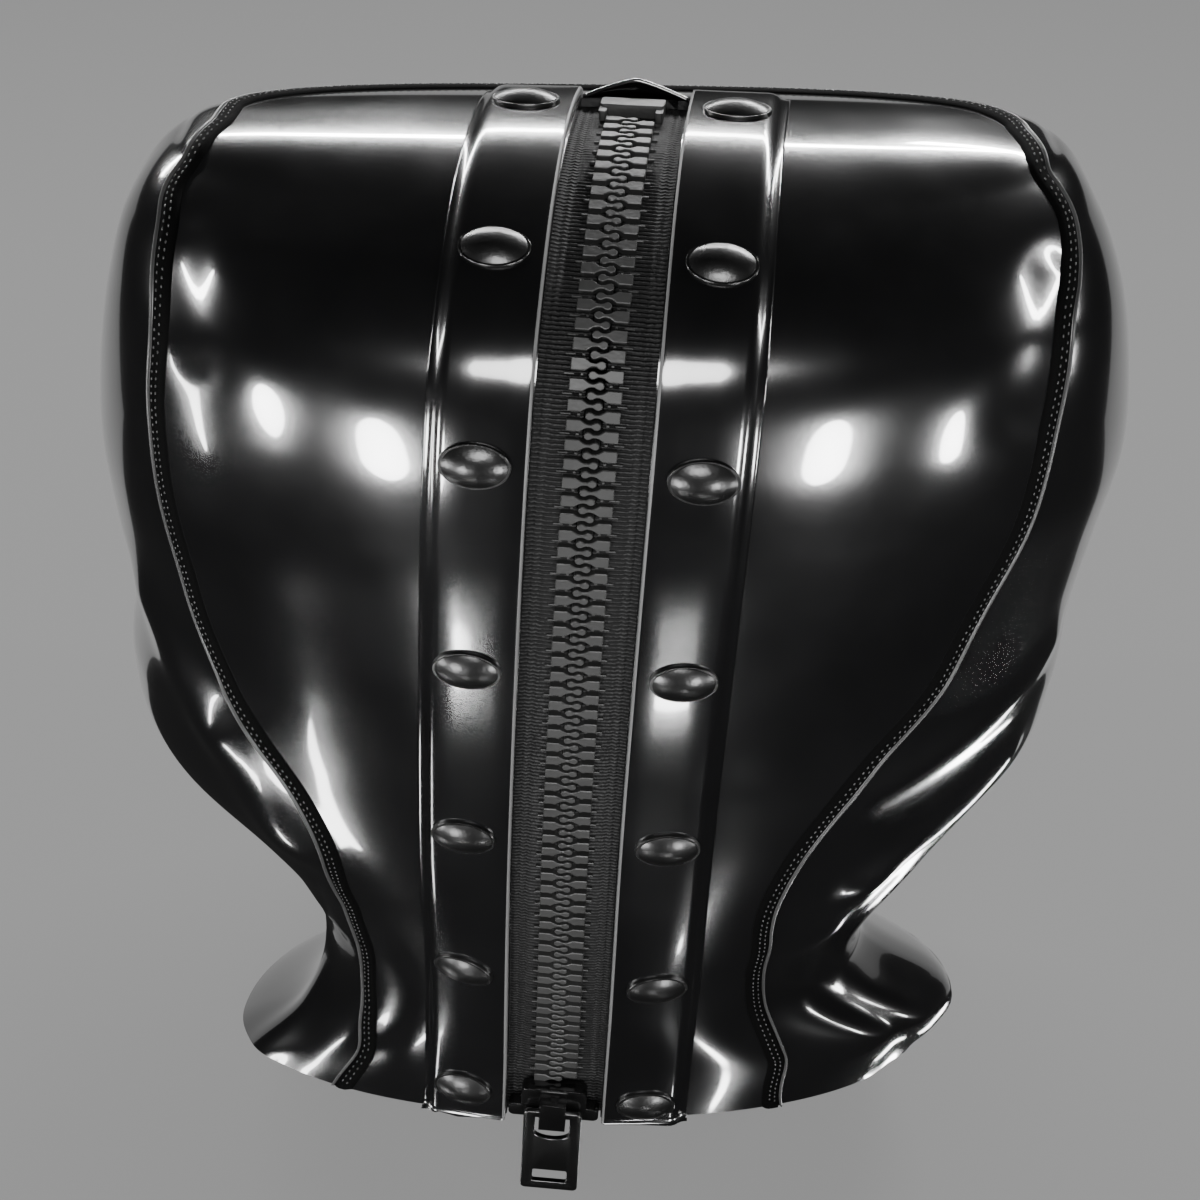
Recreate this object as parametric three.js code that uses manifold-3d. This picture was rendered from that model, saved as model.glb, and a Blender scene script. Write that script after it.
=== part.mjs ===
import * as THREE from 'three';
import { mergeVertices } from 'three/addons/utils/BufferGeometryUtils.js';
import Module from 'manifold-3d';

// Zip-back latex hood, in millimetres, +Z up, face towards -Y, zip at the back, +X the wearer's left.
// The origin is the highest point of the inner skin, where the crown of a head would sit.

const wasm = await Module();
wasm.setup();

// Main sizes
const hoodHeight = 194;
const backReach = 52;
const frontReach = 138;
const halfWidth = 92.6;
const wall = 1.5;
const clearance = 0.3;

// Zip
const zipTopShift = -4.6;
const zipHemShift = 7.3;
const zipBow = 1.2;
const slotHalf = 9;
const slotTopReach = 9;
const tapeThickness = 0.8;
const tapeHalf = 12.5;
const tapeBeyondSlot = 3;
const spinePlay = 0.1;
const toothPitch = 3.2;
const toothWidth = 1.2;
const toothReach = 1;
const spineInner = 2.6;
const spineOuter = 3.9;
const teethAbove = 1;
const teethBelow = 1;
const teethFromStop = 1.2;
const teethFromSlider = 0.6;

// Slider, puller and top stop
const sliderHalf = 6.2;
const sliderLength = 8;
const sliderFromHem = 5.5;
const sliderTopPlate = 1.3;
const sliderBottomPlate = 1.2;
const sliderPlay = 0.4;
const sliderTail = 1.5;
const sliderNose = 2;
const sliderRoot = 0.4;
const bridgeWidth = 5;
const bridgeBar = 1.2;
const bridgeInset = 0.5;
const bridgeCorner = 1;
const pullerWidth = 11;
const pullerLength = 20;
const pullerThickness = 1.2;
const pullerTopBar = 1.2;
const pullerWindowWidth = 6.6;
const pullerWindowHeight = 4;
const pullerSlotHeight = 2.3;
const pullerEndBar = 2;
const pullerCorner = 0.8;
const pullerWindowCorner = 1.5;
const pullerPlay = 0.45;
const stopHalf = 6.4;
const stopLength = 3.4;
const stopThickness = 2.2;
const stopFromTop = 2.6;
const stopPlay = 0.1;

// Plackets, caps and seam strip
const placketThickness = 1.1;
const placketWidth = 14.5;
const placketTopReach = 13;
const placketSetback = 0.2;
const capRadius = 5;
const capHeight = 2.5;
const capRimHeight = 0.6;
const capOffset = 17.2;
const capTopShift = -1.5;
const stripWidth = 4;
const stripThickness = 0.7;
const seamGap = 0.4;

// Folds and dents
const foldRise = 1.6;
const foldSpread = 8;
const foldAroundShare = 0.81;
const foldDownShare = 0.093;
const foldFrom = 0.3;

// Facets
const facetsAround = 32;
const facetRows = 21;
const capFacets = 9;
const seamParts = 0.8;
const zipStep = 30;
const samplesPerSection = 25;

// How far the cutting bars reach past what they cut
const cutDepth = 9;
const seamCutDepth = 4;
const cutBeyondHem = 5;

// Cross-sections from crown to hem. Depths and drops are shares of backReach, frontReach and hoodHeight,
// widths are shares of halfWidth, and sideShare is where the side point lies between back and front.
const sectionColumns = [
  'backDepth', 'backDrop', 'frontDepth', 'frontDrop', 'sideShare', 'left', 'right', 'squareness',
];
const sectionRows = [
  [0, 0, 0, 0, 0.5, 0, 0, 2],
  [0.25, 0.005, 0.085, 0.005, 0.55, 0.615, 0.66, 3],
  [0.5, 0.025, 0.19, 0.03, 0.56, 0.755, 0.81, 2.9],
  [0.75, 0.06, 0.29, 0.08, 0.54, 0.835, 0.88, 2.75],
  [0.935, 0.11, 0.42, 0.16, 0.515, 0.88, 0.935, 2.6],
  [1, 0.185, 0.57, 0.255, 0.49, 0.92, 0.975, 2.5],
  [0.99, 0.27, 0.73, 0.365, 0.47, 0.95, 1, 2.45],
  [0.95, 0.36, 0.87, 0.47, 0.455, 0.955, 0.985, 2.4],
  [0.905, 0.45, 0.955, 0.585, 0.445, 0.94, 0.96, 2.4],
  [0.845, 0.54, 1, 0.7, 0.43, 0.965, 0.955, 2.3],
  [0.79, 0.635, 0.995, 0.82, 0.41, 0.925, 0.905, 2.15],
  [0.725, 0.74, 0.89, 0.935, 0.37, 0.695, 0.72, 2.05],
  [0.64, 0.84, 0.66, 1.045, 0.345, 0.57, 0.565, 2],
  [0.55, 0.93, 0.565, 1.115, 0.35, 0.63, 0.755, 2],
  [0.515, 1, 0.61, 1.18, 0.4, 0.795, 0.725, 2.1],
];
const lastSection = sectionRows.length - 1;

// Folds: a line from one place to another on the skin, around in degrees from the back towards the
// wearer's left, down as a section number, spread and rise as shares of foldSpread and foldRise.
const foldColumns = ['fromAround', 'fromDown', 'toAround', 'toDown', 'spread', 'rise'];
const foldRows = [
  [62, 7.7, 44, 8.8, 0.9, 1],
  [44, 8.8, 38, 10, 0.8, 0.9],
  [38, 10, 56, 11.3, 0.8, 0.7],
  [100, 9.1, 85, 9.3, 1.9, 0.6],
  [87, 12.2, 64, 14, 0.9, 0.9],
  [45, 13.2, 43, 11.9, 1, -0.6],
  [-55, 9.4, -38, 10.4, 0.75, 1.1],
  [-38, 10.4, -42, 11.1, 0.6, 0.9],
  [-60, 10.3, -54, 11.2, 1.1, -1.3],
  [-63, 8.1, -31, 9.2, 0.6, 0.7],
  [-95, 12.9, -105, 13.3, 2, 2],
  [-57, 12.1, -62, 13.6, 1, -0.9],
  [52, 2.8, 44, 4.2, 0.9, -0.5],
  [-54, 3.2, -44, 4.7, 0.9, -0.5],
];

// Where the seam between face and back panels runs, from the left hem over the crown to the right hem.
const seamColumns = ['around', 'down'];
const seamRows = [
  [41, 14.3], [47, 13.4], [55, 12.6], [57, 12.1], [51, 11.5], [42, 10.8], [33, 10.05], [33, 9.5],
  [38, 8.7], [43, 8.15], [46, 7.6], [48, 6.7], [51, 5.6], [53, 4.8], [54, 4.15], [57, 3.4],
  [61, 2.8], [66, 2.4], [70, 2], [75, 1.55], [87, 1.25], [106, 1.25], [128, 1.4], [152, 1.65],
  [180, 1.8], [208, 1.65], [232, 1.4], [252, 1.25], [271, 1.32], [284, 1.6], [291, 2.05], [294, 2.7],
  [300, 3.4], [304, 3.8], [308, 4.5], [312, 5.3], [316, 6.3], [320, 7.2], [323, 7.9], [330, 8.7],
  [334, 9.4], [336, 10], [335, 10.55], [329, 11.3], [322, 12.05], [327, 12.8], [329, 13.4], [327, 14.3],
];

// Cap places down the zip, as shares of its run from the first cap to the hem.
const capPlaces = [0, 0.165, 0.31, 0.48, 0.65, 0.815, 0.975];

const named = (columns, row) => Object.fromEntries(columns.map((name, i) => [name, row[i]]));
const table = (columns, rows) => rows.map((row) => named(columns, row));
const sections = table(sectionColumns, sectionRows);
const folds = table(foldColumns, foldRows);
const seamPlaces = table(seamColumns, seamRows);

// Real lengths of the section table, for one row number
function sectionRow(index) {
  if (index < 0) {
    const mirror = sectionRow(-index);
    return [mirror[2], mirror[3], mirror[0], mirror[1], mirror[4], -mirror[5], -mirror[6], mirror[7]];
  }
  if (index > lastSection) {
    const last = sectionRow(lastSection);
    const before = sectionRow(2 * lastSection - index);
    return last.map((value, i) => 2 * value - before[i]);
  }
  const row = sections[index];
  return [
    row.backDepth * backReach,
    wall - row.backDrop * hoodHeight,
    -row.frontDepth * frontReach,
    wall - row.frontDrop * hoodHeight,
    row.sideShare,
    row.left * halfWidth,
    row.right * halfWidth,
    row.squareness,
  ];
}

// Smooth section at any place between the rows
function section(down) {
  const i = Math.floor(down);
  const f = down - i;
  const [a, b, c, d] = [sectionRow(i - 1), sectionRow(i), sectionRow(i + 1), sectionRow(i + 2)];
  return b.map((value, k) => 0.5 * (2 * value + (c[k] - a[k]) * f
    + (2 * a[k] - 5 * value + 4 * c[k] - d[k]) * f * f
    + (3 * value - a[k] - 3 * c[k] + d[k]) * f * f * f));
}

function plainPoint(around, down) {
  const [backY, backZ, frontY, frontZ, share, left, right, squareness] = section(down);
  const power = 2 / squareness;
  const s = Math.sign(Math.sin(around)) * Math.abs(Math.sin(around)) ** power;
  const c = Math.sign(Math.cos(around)) * Math.abs(Math.cos(around)) ** power;
  const sideY = backY + share * (frontY - backY);
  const sideZ = backZ + share * (frontZ - backZ);
  return new THREE.Vector3(
    (s > 0 ? left : right) * s,
    c > 0 ? sideY + (backY - sideY) * c : sideY + (sideY - frontY) * c,
    c > 0 ? sideZ + (backZ - sideZ) * c : sideZ + (sideZ - frontZ) * c,
  );
}

function normalOf(point, around, down) {
  const step = 0.02;
  const alongDown = point(around, down + step).sub(point(around, down - step));
  const alongAround = point(around + step, down).sub(point(around - step, down));
  return alongAround.cross(alongDown).normalize();
}

// Height of all folds at a place on the skin
function foldHeight(around, down) {
  const aroundScale = foldAroundShare * halfWidth;
  const downScale = foldDownShare * hoodHeight;
  const wrapped = Math.atan2(Math.sin(around), Math.cos(around));
  let height = 0;
  for (const fold of folds) {
    const ax = THREE.MathUtils.degToRad(fold.fromAround) * aroundScale;
    const bx = THREE.MathUtils.degToRad(fold.toAround) * aroundScale;
    const ay = fold.fromDown * downScale;
    const by = fold.toDown * downScale;
    const [px, py] = [wrapped * aroundScale - ax, down * downScale - ay];
    const [lineX, lineY] = [bx - ax, by - ay];
    const along = THREE.MathUtils.clamp((px * lineX + py * lineY) / (lineX ** 2 + lineY ** 2), 0, 1);
    const distance = Math.hypot(px - along * lineX, py - along * lineY);
    height += fold.rise * foldRise * Math.exp(-((distance / (fold.spread * foldSpread)) ** 2));
  }
  return height;
}

function foldedPoint(around, down) {
  const point = plainPoint(around, down);
  if (down < foldFrom) return point;
  return point.addScaledVector(normalOf(plainPoint, around, down), foldHeight(around, down));
}

// A place on the skin and its outward normal, lifted off the outer face by height
function skin(around, down, height = 0) {
  if (down === 0) {
    return { point: new THREE.Vector3(0, 0, wall + height), normal: new THREE.Vector3(0, 0, 1) };
  }
  const normal = normalOf(foldedPoint, around, down);
  return { point: foldedPoint(around, down).addScaledVector(normal, height), normal };
}

// Closed solid from a list of points and faces
function solidFrom(points, faces) {
  const geometry = new THREE.BufferGeometry();
  const positions = points.flatMap((point) => point.toArray());
  geometry.setAttribute('position', new THREE.Float32BufferAttribute(positions, 3));
  geometry.setIndex(faces.flat());
  return toManifold(geometry);
}

function toManifold(source) {
  const bare = source.clone();
  bare.deleteAttribute('normal');
  bare.deleteAttribute('uv');
  const merged = mergeVertices(bare, 1e-4);
  return new wasm.Manifold(new wasm.Mesh({
    numProp: 3,
    vertProperties: Float32Array.from(merged.attributes.position.array),
    triVerts: Uint32Array.from(merged.index.array),
  }));
}

function toGeometry(body) {
  const mesh = body.getMesh();
  const geometry = new THREE.BufferGeometry();
  const positions = [];
  for (let i = 0; i < mesh.vertProperties.length; i += mesh.numProp) {
    positions.push(mesh.vertProperties[i], mesh.vertProperties[i + 1], mesh.vertProperties[i + 2]);
  }
  geometry.setAttribute('position', new THREE.Float32BufferAttribute(positions, 3));
  geometry.setIndex(Array.from(mesh.triVerts));
  geometry.computeVertexNormals();
  return geometry;
}

// Hollow layer between two heights off the outer face, open at the hem
function layer(low, high) {
  const points = [];
  const faces = [];
  const downAt = (row) => 1 + ((lastSection - 1) * (row - 1)) / (facetRows - 1);
  const poleOf = (side) => side * (1 + facetRows * facetsAround);
  const ringStart = (side, row) => poleOf(side) + 1 + (row - 1) * facetsAround;
  for (const height of [high, low]) {
    points.push(skin(0, 0, height).point);
    for (let row = 1; row <= facetRows; row += 1) {
      for (let k = 0; k < facetsAround; k += 1) {
        points.push(skin((2 * Math.PI * k) / facetsAround, downAt(row), height).point);
      }
    }
  }
  for (const side of [0, 1]) {
    const push = (a, b, c) => faces.push(side === 0 ? [a, c, b] : [a, b, c]);
    for (let k = 0; k < facetsAround; k += 1) {
      const next = (k + 1) % facetsAround;
      push(poleOf(side), ringStart(side, 1) + k, ringStart(side, 1) + next);
      for (let row = 1; row < facetRows; row += 1) {
        const [a, b] = [ringStart(side, row) + k, ringStart(side, row) + next];
        const [c, d] = [ringStart(side, row + 1) + k, ringStart(side, row + 1) + next];
        push(a, c, b);
        push(b, c, d);
      }
    }
  }
  for (let k = 0; k < facetsAround; k += 1) {
    const next = (k + 1) % facetsAround;
    const [a, b] = [ringStart(0, facetRows) + k, ringStart(0, facetRows) + next];
    const [c, d] = [ringStart(1, facetRows) + k, ringStart(1, facetRows) + next];
    faces.push([a, b, c], [b, d, c]);
  }
  return solidFrom(points, faces);
}

// Bar swept along stations, between two side offsets and two heights
function sweptBar(stations, sideLow, sideHigh, low, high) {
  const points = [];
  const faces = [];
  for (const { point, side, normal } of stations) {
    for (const [across, up] of [[sideLow, low], [sideHigh, low], [sideHigh, high], [sideLow, high]]) {
      points.push(point.clone().addScaledVector(side, across).addScaledVector(normal, up));
    }
  }
  for (let i = 0; i + 1 < stations.length; i += 1) {
    for (let k = 0; k < 4; k += 1) {
      const [a, b] = [4 * i + k, 4 * i + ((k + 1) % 4)];
      if (k < 2) faces.push([a, b, a + 4], [b, b + 4, a + 4]);
      else faces.push([a, b, b + 4], [a, b + 4, a + 4]);
    }
  }
  const end = 4 * (stations.length - 1);
  faces.push([0, 2, 1], [0, 3, 2], [end, end + 1, end + 2], [end, end + 2, end + 3]);
  const body = solidFrom(points, faces);
  if (body.volume() > 0) return body;
  return solidFrom(points, faces.map(([a, b, c]) => [a, c, b]));
}

// Zip line down the middle of the back, from a little ahead of the crown to the hem
function zipPoint(down) {
  const profile = section(Math.abs(down));
  const share = down / lastSection;
  const x = zipTopShift + (zipHemShift - zipTopShift) * share + zipBow * 4 * share * (1 - share);
  return new THREE.Vector3(x, down < 0 ? profile[2] : profile[0], down < 0 ? profile[3] : profile[1]);
}

const zipSamples = [];
for (let i = -2 * samplesPerSection; i <= (lastSection + 0.4) * samplesPerSection; i += 1) {
  const down = i / samplesPerSection;
  const point = zipPoint(down);
  const before = zipSamples[zipSamples.length - 1];
  const run = before ? before.run + point.distanceTo(before.point) : 0;
  zipSamples.push({ down, run, point });
}
const runAt = (down) => zipSamples.find((sample) => sample.down >= down).run;
const zeroRun = runAt(0);
const hemRun = runAt(lastSection) - zeroRun;

// Frame of the zip line at a run from the crown point: side towards +X, normal outward, down the line
function zipFrame(run) {
  const wanted = run + zeroRun;
  let i = zipSamples.findIndex((sample) => sample.run >= wanted);
  if (i < 1) i = i < 0 ? zipSamples.length - 1 : 1;
  const [a, b] = [zipSamples[i - 1], zipSamples[i]];
  const blend = (wanted - a.run) / (b.run - a.run);
  const point = a.point.clone().lerp(b.point, blend);
  const down = THREE.MathUtils.lerp(a.down, b.down, blend);
  const low = zipSamples[Math.max(i - 4, 0)];
  const high = zipSamples[Math.min(i + 3, zipSamples.length - 1)];
  const downward = high.point.clone().sub(low.point).normalize();
  const normal = new THREE.Vector3(1, 0, 0).cross(downward).normalize();
  if (down > 2) {
    const row = section(Math.min(down, lastSection));
    const across = point.x > 0 ? row[5] : row[6];
    const around = Math.sign(point.x) * Math.asin((Math.abs(point.x) / across) ** (row[7] / 2));
    const lean = skin(around, Math.min(down, lastSection)).normal;
    normal.copy(lean.addScaledVector(downward, -lean.dot(downward)).normalize());
  }
  const side = downward.clone().cross(normal).normalize();
  return { point, side, normal, downward };
}

function zipStations(fromRun, toRun, step = zipStep) {
  const count = Math.ceil((toRun - fromRun) / step);
  return Array.from({ length: count + 1 }, (_, i) => zipFrame(fromRun + ((toRun - fromRun) * i) / count));
}

// Stations down the seam, side pointing to the back panel
function seamStations() {
  const stations = [];
  const curve = new THREE.CatmullRomCurve3(
    seamPlaces.map(({ around, down }) => new THREE.Vector3(around / 10, down, 0)),
  );
  const count = Math.round(seamPlaces.length * seamParts);
  for (let i = 0; i <= count; i += 1) {
    const place = curve.getPoint(i / count);
    const next = curve.getPoint(Math.min((i + 0.2) / count, 1));
    const before = curve.getPoint(Math.max((i - 0.2) / count, 0));
    const at = (p) => skin(THREE.MathUtils.degToRad(p.x * 10), p.y);
    const { point, normal } = at(place);
    const along = at(next).point.sub(at(before).point).normalize();
    const side = along.cross(normal).normalize();
    stations.push({ point, side, normal });
  }
  const middle = stations[Math.floor(stations.length / 2)];
  if (middle.side.y < 0) stations.forEach((station) => station.side.negate());
  return stations;
}

const biggest = (body) => body.decompose().sort((a, b) => b.volume() - a.volume())[0];

// Skin panels
const seamLine = seamStations();
const hemCut = hemRun + cutBeyondHem;
const zipSlot = sweptBar(zipStations(-slotTopReach, hemCut), -slotHalf, slotHalf, -cutDepth, cutDepth);
const seamCut = sweptBar(seamLine, -seamGap / 2, seamGap / 2, -seamCutDepth, seamCutDepth);
const panels = layer(-wall, 0).subtract(seamCut).decompose();
const facePanel = panels.sort((a, b) => a.boundingBox().min[1] - b.boundingBox().min[1])[0];
const wholeBack = panels.sort((a, b) => b.boundingBox().max[1] - a.boundingBox().max[1])[0];
const backPanel = biggest(wholeBack.subtract(zipSlot));

// Plackets beside the zip, and the strip along the seam
const placketLine = zipStations(-placketTopReach, hemCut);
const placketLayer = layer(clearance, clearance + placketThickness);
const placketEdge = slotHalf + placketSetback;
const placketLeft = biggest(placketLayer.intersect(
  sweptBar(placketLine, placketEdge, placketEdge + placketWidth, -cutDepth, cutDepth),
));
const placketRight = biggest(placketLayer.intersect(
  sweptBar(placketLine, -placketEdge - placketWidth, -placketEdge, -cutDepth, cutDepth),
));
const seamStrip = biggest(layer(clearance, clearance + stripThickness).intersect(
  sweptBar(seamLine, seamGap / 2, seamGap / 2 + stripWidth, -seamCutDepth, seamCutDepth),
));

// Zip tapes, lying behind the edges of the slot
const tapeTop = -wall - clearance;
const tapeLayer = layer(tapeTop - tapeThickness, tapeTop);
const tapeLine = zipStations(-slotTopReach - tapeBeyondSlot, hemCut);
const tapeEdge = spineOuter + clearance + spinePlay;
const tapeLeft = biggest(tapeLayer.intersect(
  sweptBar(tapeLine, tapeEdge, tapeHalf, -cutDepth, cutDepth),
));
const tapeRight = biggest(tapeLayer.intersect(
  sweptBar(tapeLine, -tapeHalf, -tapeEdge, -cutDepth, cutDepth),
));

// One row of teeth: a spine bent along the zip line with a tooth at every pitch
const stopRun = -slotTopReach + stopFromTop;
const teethStart = stopRun + stopLength + teethFromStop;
const teethEnd = hemRun - sliderFromHem - sliderLength / 2 - teethFromSlider;
function teethRow(hand) {
  const shift = hand > 0 ? 0 : toothPitch / 2;
  const count = Math.floor((teethEnd - teethStart - toothPitch) / toothPitch);
  const points = [];
  const faces = [];
  const low = tapeTop - tapeThickness - teethBelow;
  const high = tapeTop + teethAbove;
  const place = (run, across, height) => {
    const { point, side, normal } = zipFrame(run);
    points.push(point.clone().addScaledVector(side, across * hand).addScaledVector(normal, height));
    return points.length - 1;
  };
  const quad = (a, b, c, d) => faces.push([a, b, c], [a, c, d]);
  let last = null;
  for (let i = 0; i < count; i += 1) {
    const run = teethStart + shift + i * toothPitch + toothWidth;
    const [from, to] = [run - toothWidth / 2, run + toothWidth / 2];
    const ring = [high, low].map((height) => ({
      outer: place(run, spineOuter, height),
      first: place(from, spineInner, height),
      second: place(to, spineInner, height),
      tipFirst: place(from, -toothReach, height),
      tipSecond: place(to, -toothReach, height),
    }));
    const [top, bottom] = ring;
    faces.push([top.outer, top.second, top.first], [bottom.outer, bottom.first, bottom.second]);
    quad(top.first, top.second, top.tipSecond, top.tipFirst);
    quad(bottom.first, bottom.tipFirst, bottom.tipSecond, bottom.second);
    quad(top.tipFirst, top.tipSecond, bottom.tipSecond, bottom.tipFirst);
    quad(top.first, top.tipFirst, bottom.tipFirst, bottom.first);
    quad(top.tipSecond, top.second, bottom.second, bottom.tipSecond);
    if (last) {
      faces.push([last.top.outer, top.outer, last.top.second], [top.outer, top.first, last.top.second]);
      faces.push([last.bottom.outer, last.bottom.second, bottom.outer]);
      faces.push([bottom.outer, last.bottom.second, bottom.first]);
      quad(last.top.outer, last.bottom.outer, bottom.outer, top.outer);
      quad(last.top.second, top.first, bottom.first, last.bottom.second);
    } else {
      quad(top.outer, top.first, bottom.first, bottom.outer);
    }
    last = { top, bottom };
  }
  quad(last.top.outer, last.bottom.outer, last.bottom.second, last.top.second);
  const body = solidFrom(points, faces);
  if (body.volume() > 0) return body;
  return solidFrom(points, faces.map(([a, b, c]) => [a, c, b]));
}

// Flat plate with optional windows, drawn in x and y and given a thickness from low to high
function plate(outline, windows, low, high) {
  const shape = new THREE.Shape(outline.map(([x, y]) => new THREE.Vector2(x, y)));
  for (const window of windows) {
    shape.holes.push(new THREE.Path(window.map(([x, y]) => new THREE.Vector2(x, y))));
  }
  const depth = high - low;
  const geometry = new THREE.ExtrudeGeometry(shape, { depth, bevelEnabled: false, curveSegments: 1 });
  geometry.translate(0, 0, low);
  return geometry;
}

// Slider: two plates joined by a web, with a bridge that holds the puller. Local x across, y up the zip,
// z outward.
const sliderSpan = sliderLength / 2;
const sliderOutline = [
  [-sliderHalf, -sliderSpan + sliderTail], [-sliderHalf + sliderTail, -sliderSpan],
  [sliderHalf - sliderTail, -sliderSpan], [sliderHalf, -sliderSpan + sliderTail],
  [sliderHalf, sliderSpan - sliderNose], [sliderHalf - sliderNose, sliderSpan],
  [-sliderHalf + sliderNose, sliderSpan], [-sliderHalf, sliderSpan - sliderNose],
];
const plateLow = tapeTop + clearance + sliderPlay;
const plateHigh = plateLow + sliderTopPlate + wall;
const lowerHigh = tapeTop - tapeThickness - clearance - sliderPlay;
const lowerLow = lowerHigh - sliderBottomPlate;
const webHalf = tapeEdge - clearance - sliderPlay;
const bridgeRoom = pullerThickness + 2 * pullerPlay;
const bridgeInner = plateHigh + bridgeRoom;
const bridgeOuter = bridgeInner + bridgeBar;
const bridgeReach = sliderSpan - bridgeInset;
const bridgeRoot = plateHigh - sliderRoot;
const bridgeProfile = [
  [-bridgeReach, bridgeRoot], [-bridgeReach, bridgeOuter - bridgeCorner],
  [-bridgeReach + bridgeCorner, bridgeOuter], [bridgeReach - bridgeCorner, bridgeOuter],
  [bridgeReach, bridgeOuter - bridgeCorner], [bridgeReach, bridgeRoot],
  [bridgeReach - bridgeBar, bridgeRoot], [bridgeReach - bridgeBar, bridgeInner],
  [-bridgeReach + bridgeBar, bridgeInner], [-bridgeReach + bridgeBar, bridgeRoot],
];
const bridge = plate(bridgeProfile, [], -bridgeWidth / 2, bridgeWidth / 2);
bridge.applyMatrix4(new THREE.Matrix4().makeBasis(
  new THREE.Vector3(0, 1, 0), new THREE.Vector3(0, 0, 1), new THREE.Vector3(1, 0, 0),
));
const webSpan = sliderSpan - sliderTail;
const webOutline = [[-webHalf, -webSpan], [webHalf, -webSpan], [webHalf, webSpan], [-webHalf, webSpan]];
const web = plate(webOutline, [], lowerHigh - sliderRoot, plateLow + sliderRoot);
const slider = toManifold(plate(sliderOutline, [], plateLow, plateHigh))
  .add(toManifold(plate(sliderOutline, [], lowerLow, lowerHigh)))
  .add(toManifold(web))
  .add(toManifold(bridge));

// Puller: a plate with an upper window around the bridge and a slot near its end, hanging straight down
// from its top bar. Local origin is the middle of that bar.
const barHalf = pullerTopBar / 2;
const windowTop = -barHalf;
const windowLow = windowTop - pullerWindowHeight;
const endLow = barHalf - pullerLength;
const slotLow = endLow + pullerEndBar;
const half = pullerWidth / 2;
const windowHalf = pullerWindowWidth / 2;
const pullerOutline = [
  [-half, barHalf - pullerCorner], [-half, endLow + pullerCorner],
  [-half + pullerCorner, endLow], [half - pullerCorner, endLow],
  [half, endLow + pullerCorner], [half, barHalf - pullerCorner],
  [half - pullerCorner, barHalf], [-half + pullerCorner, barHalf],
];
const pullerWindow = [
  [-windowHalf, windowTop], [windowHalf, windowTop],
  [windowHalf, windowLow + pullerWindowCorner], [windowHalf - pullerWindowCorner, windowLow],
  [-windowHalf + pullerWindowCorner, windowLow], [-windowHalf, windowLow + pullerWindowCorner],
];
const pullerSlot = [
  [-windowHalf, slotLow + pullerSlotHeight], [windowHalf, slotLow + pullerSlotHeight],
  [windowHalf, slotLow], [-windowHalf, slotLow],
];
const pullerGeometry = plate(
  pullerOutline, [pullerWindow, pullerSlot], -pullerThickness / 2, pullerThickness / 2,
);

// Top stop across the upper end of the teeth
const stop = new THREE.BoxGeometry(2 * stopHalf, stopLength, stopThickness);
stop.translate(0, 0, tapeTop + clearance + stopPlay + stopThickness / 2);

// Domed snap cap, its flat underside on z = 0
const capProfile = [
  new THREE.Vector2(0, 0), new THREE.Vector2(capRadius, 0), new THREE.Vector2(capRadius, capRimHeight),
  new THREE.Vector2(capRadius * 0.62, capHeight * 0.82), new THREE.Vector2(0, capHeight),
];
const capShape = new THREE.LatheGeometry(capProfile, capFacets);
capShape.rotateX(Math.PI / 2);

// Materials
const finish = (name, colour, roughness, metalness) => {
  const material = new THREE.MeshStandardMaterial({ color: colour, roughness, metalness });
  material.name = name;
  return material;
};
const latex = finish('latex', 0x0b0b0c, 0.16, 0);
const latexTrim = finish('latex_trim', 0x0a0a0b, 0.2, 0);
const seamTape = finish('seam_strip', 0x101011, 0.42, 0);
const tapeCloth = finish('zip_tape', 0x1a1a1b, 0.78, 0);
const zipPlastic = finish('zip_plastic', 0x131314, 0.34, 0);
const zipMetal = finish('zip_metal', 0x161617, 0.32, 0.4);
const capPaint = finish('snap_cap', 0x0d0d0e, 0.18, 0.3);

const group = new THREE.Group();
group.name = 'latex_hood';

function addMesh(name, geometry, material) {
  const mesh = new THREE.Mesh(geometry, material.clone());
  mesh.name = name;
  group.add(mesh);
  return mesh;
}

addMesh('face_panel', toGeometry(facePanel), latex);
addMesh('back_panel', toGeometry(backPanel), latex);
const placketMeshes = [
  addMesh('placket_left', toGeometry(placketLeft), latexTrim),
  addMesh('placket_right', toGeometry(placketRight), latexTrim),
];
addMesh('seam_strip', toGeometry(seamStrip), seamTape);
addMesh('zip_tape_left', toGeometry(tapeLeft), tapeCloth);
addMesh('zip_tape_right', toGeometry(tapeRight), tapeCloth);
addMesh('zip_teeth_left', toGeometry(teethRow(1)), zipPlastic);
addMesh('zip_teeth_right', toGeometry(teethRow(-1)), zipPlastic);

// Matrix that stands a piece on the zip line: x across, y up the line, z outward
function standOn(frame) {
  const up = frame.downward.clone().negate();
  const across = up.clone().cross(frame.normal).normalize();
  return new THREE.Matrix4().makeBasis(across, up, frame.normal).setPosition(frame.point);
}

const stopMesh = addMesh('zip_top_stop', stop, zipPlastic);
stopMesh.applyMatrix4(standOn(zipFrame(stopRun + stopLength / 2)));

const sliderFrame = zipFrame(hemRun - sliderFromHem);
const sliderMesh = addMesh('zip_slider', toGeometry(slider), zipMetal);
sliderMesh.applyMatrix4(standOn(sliderFrame));

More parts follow.
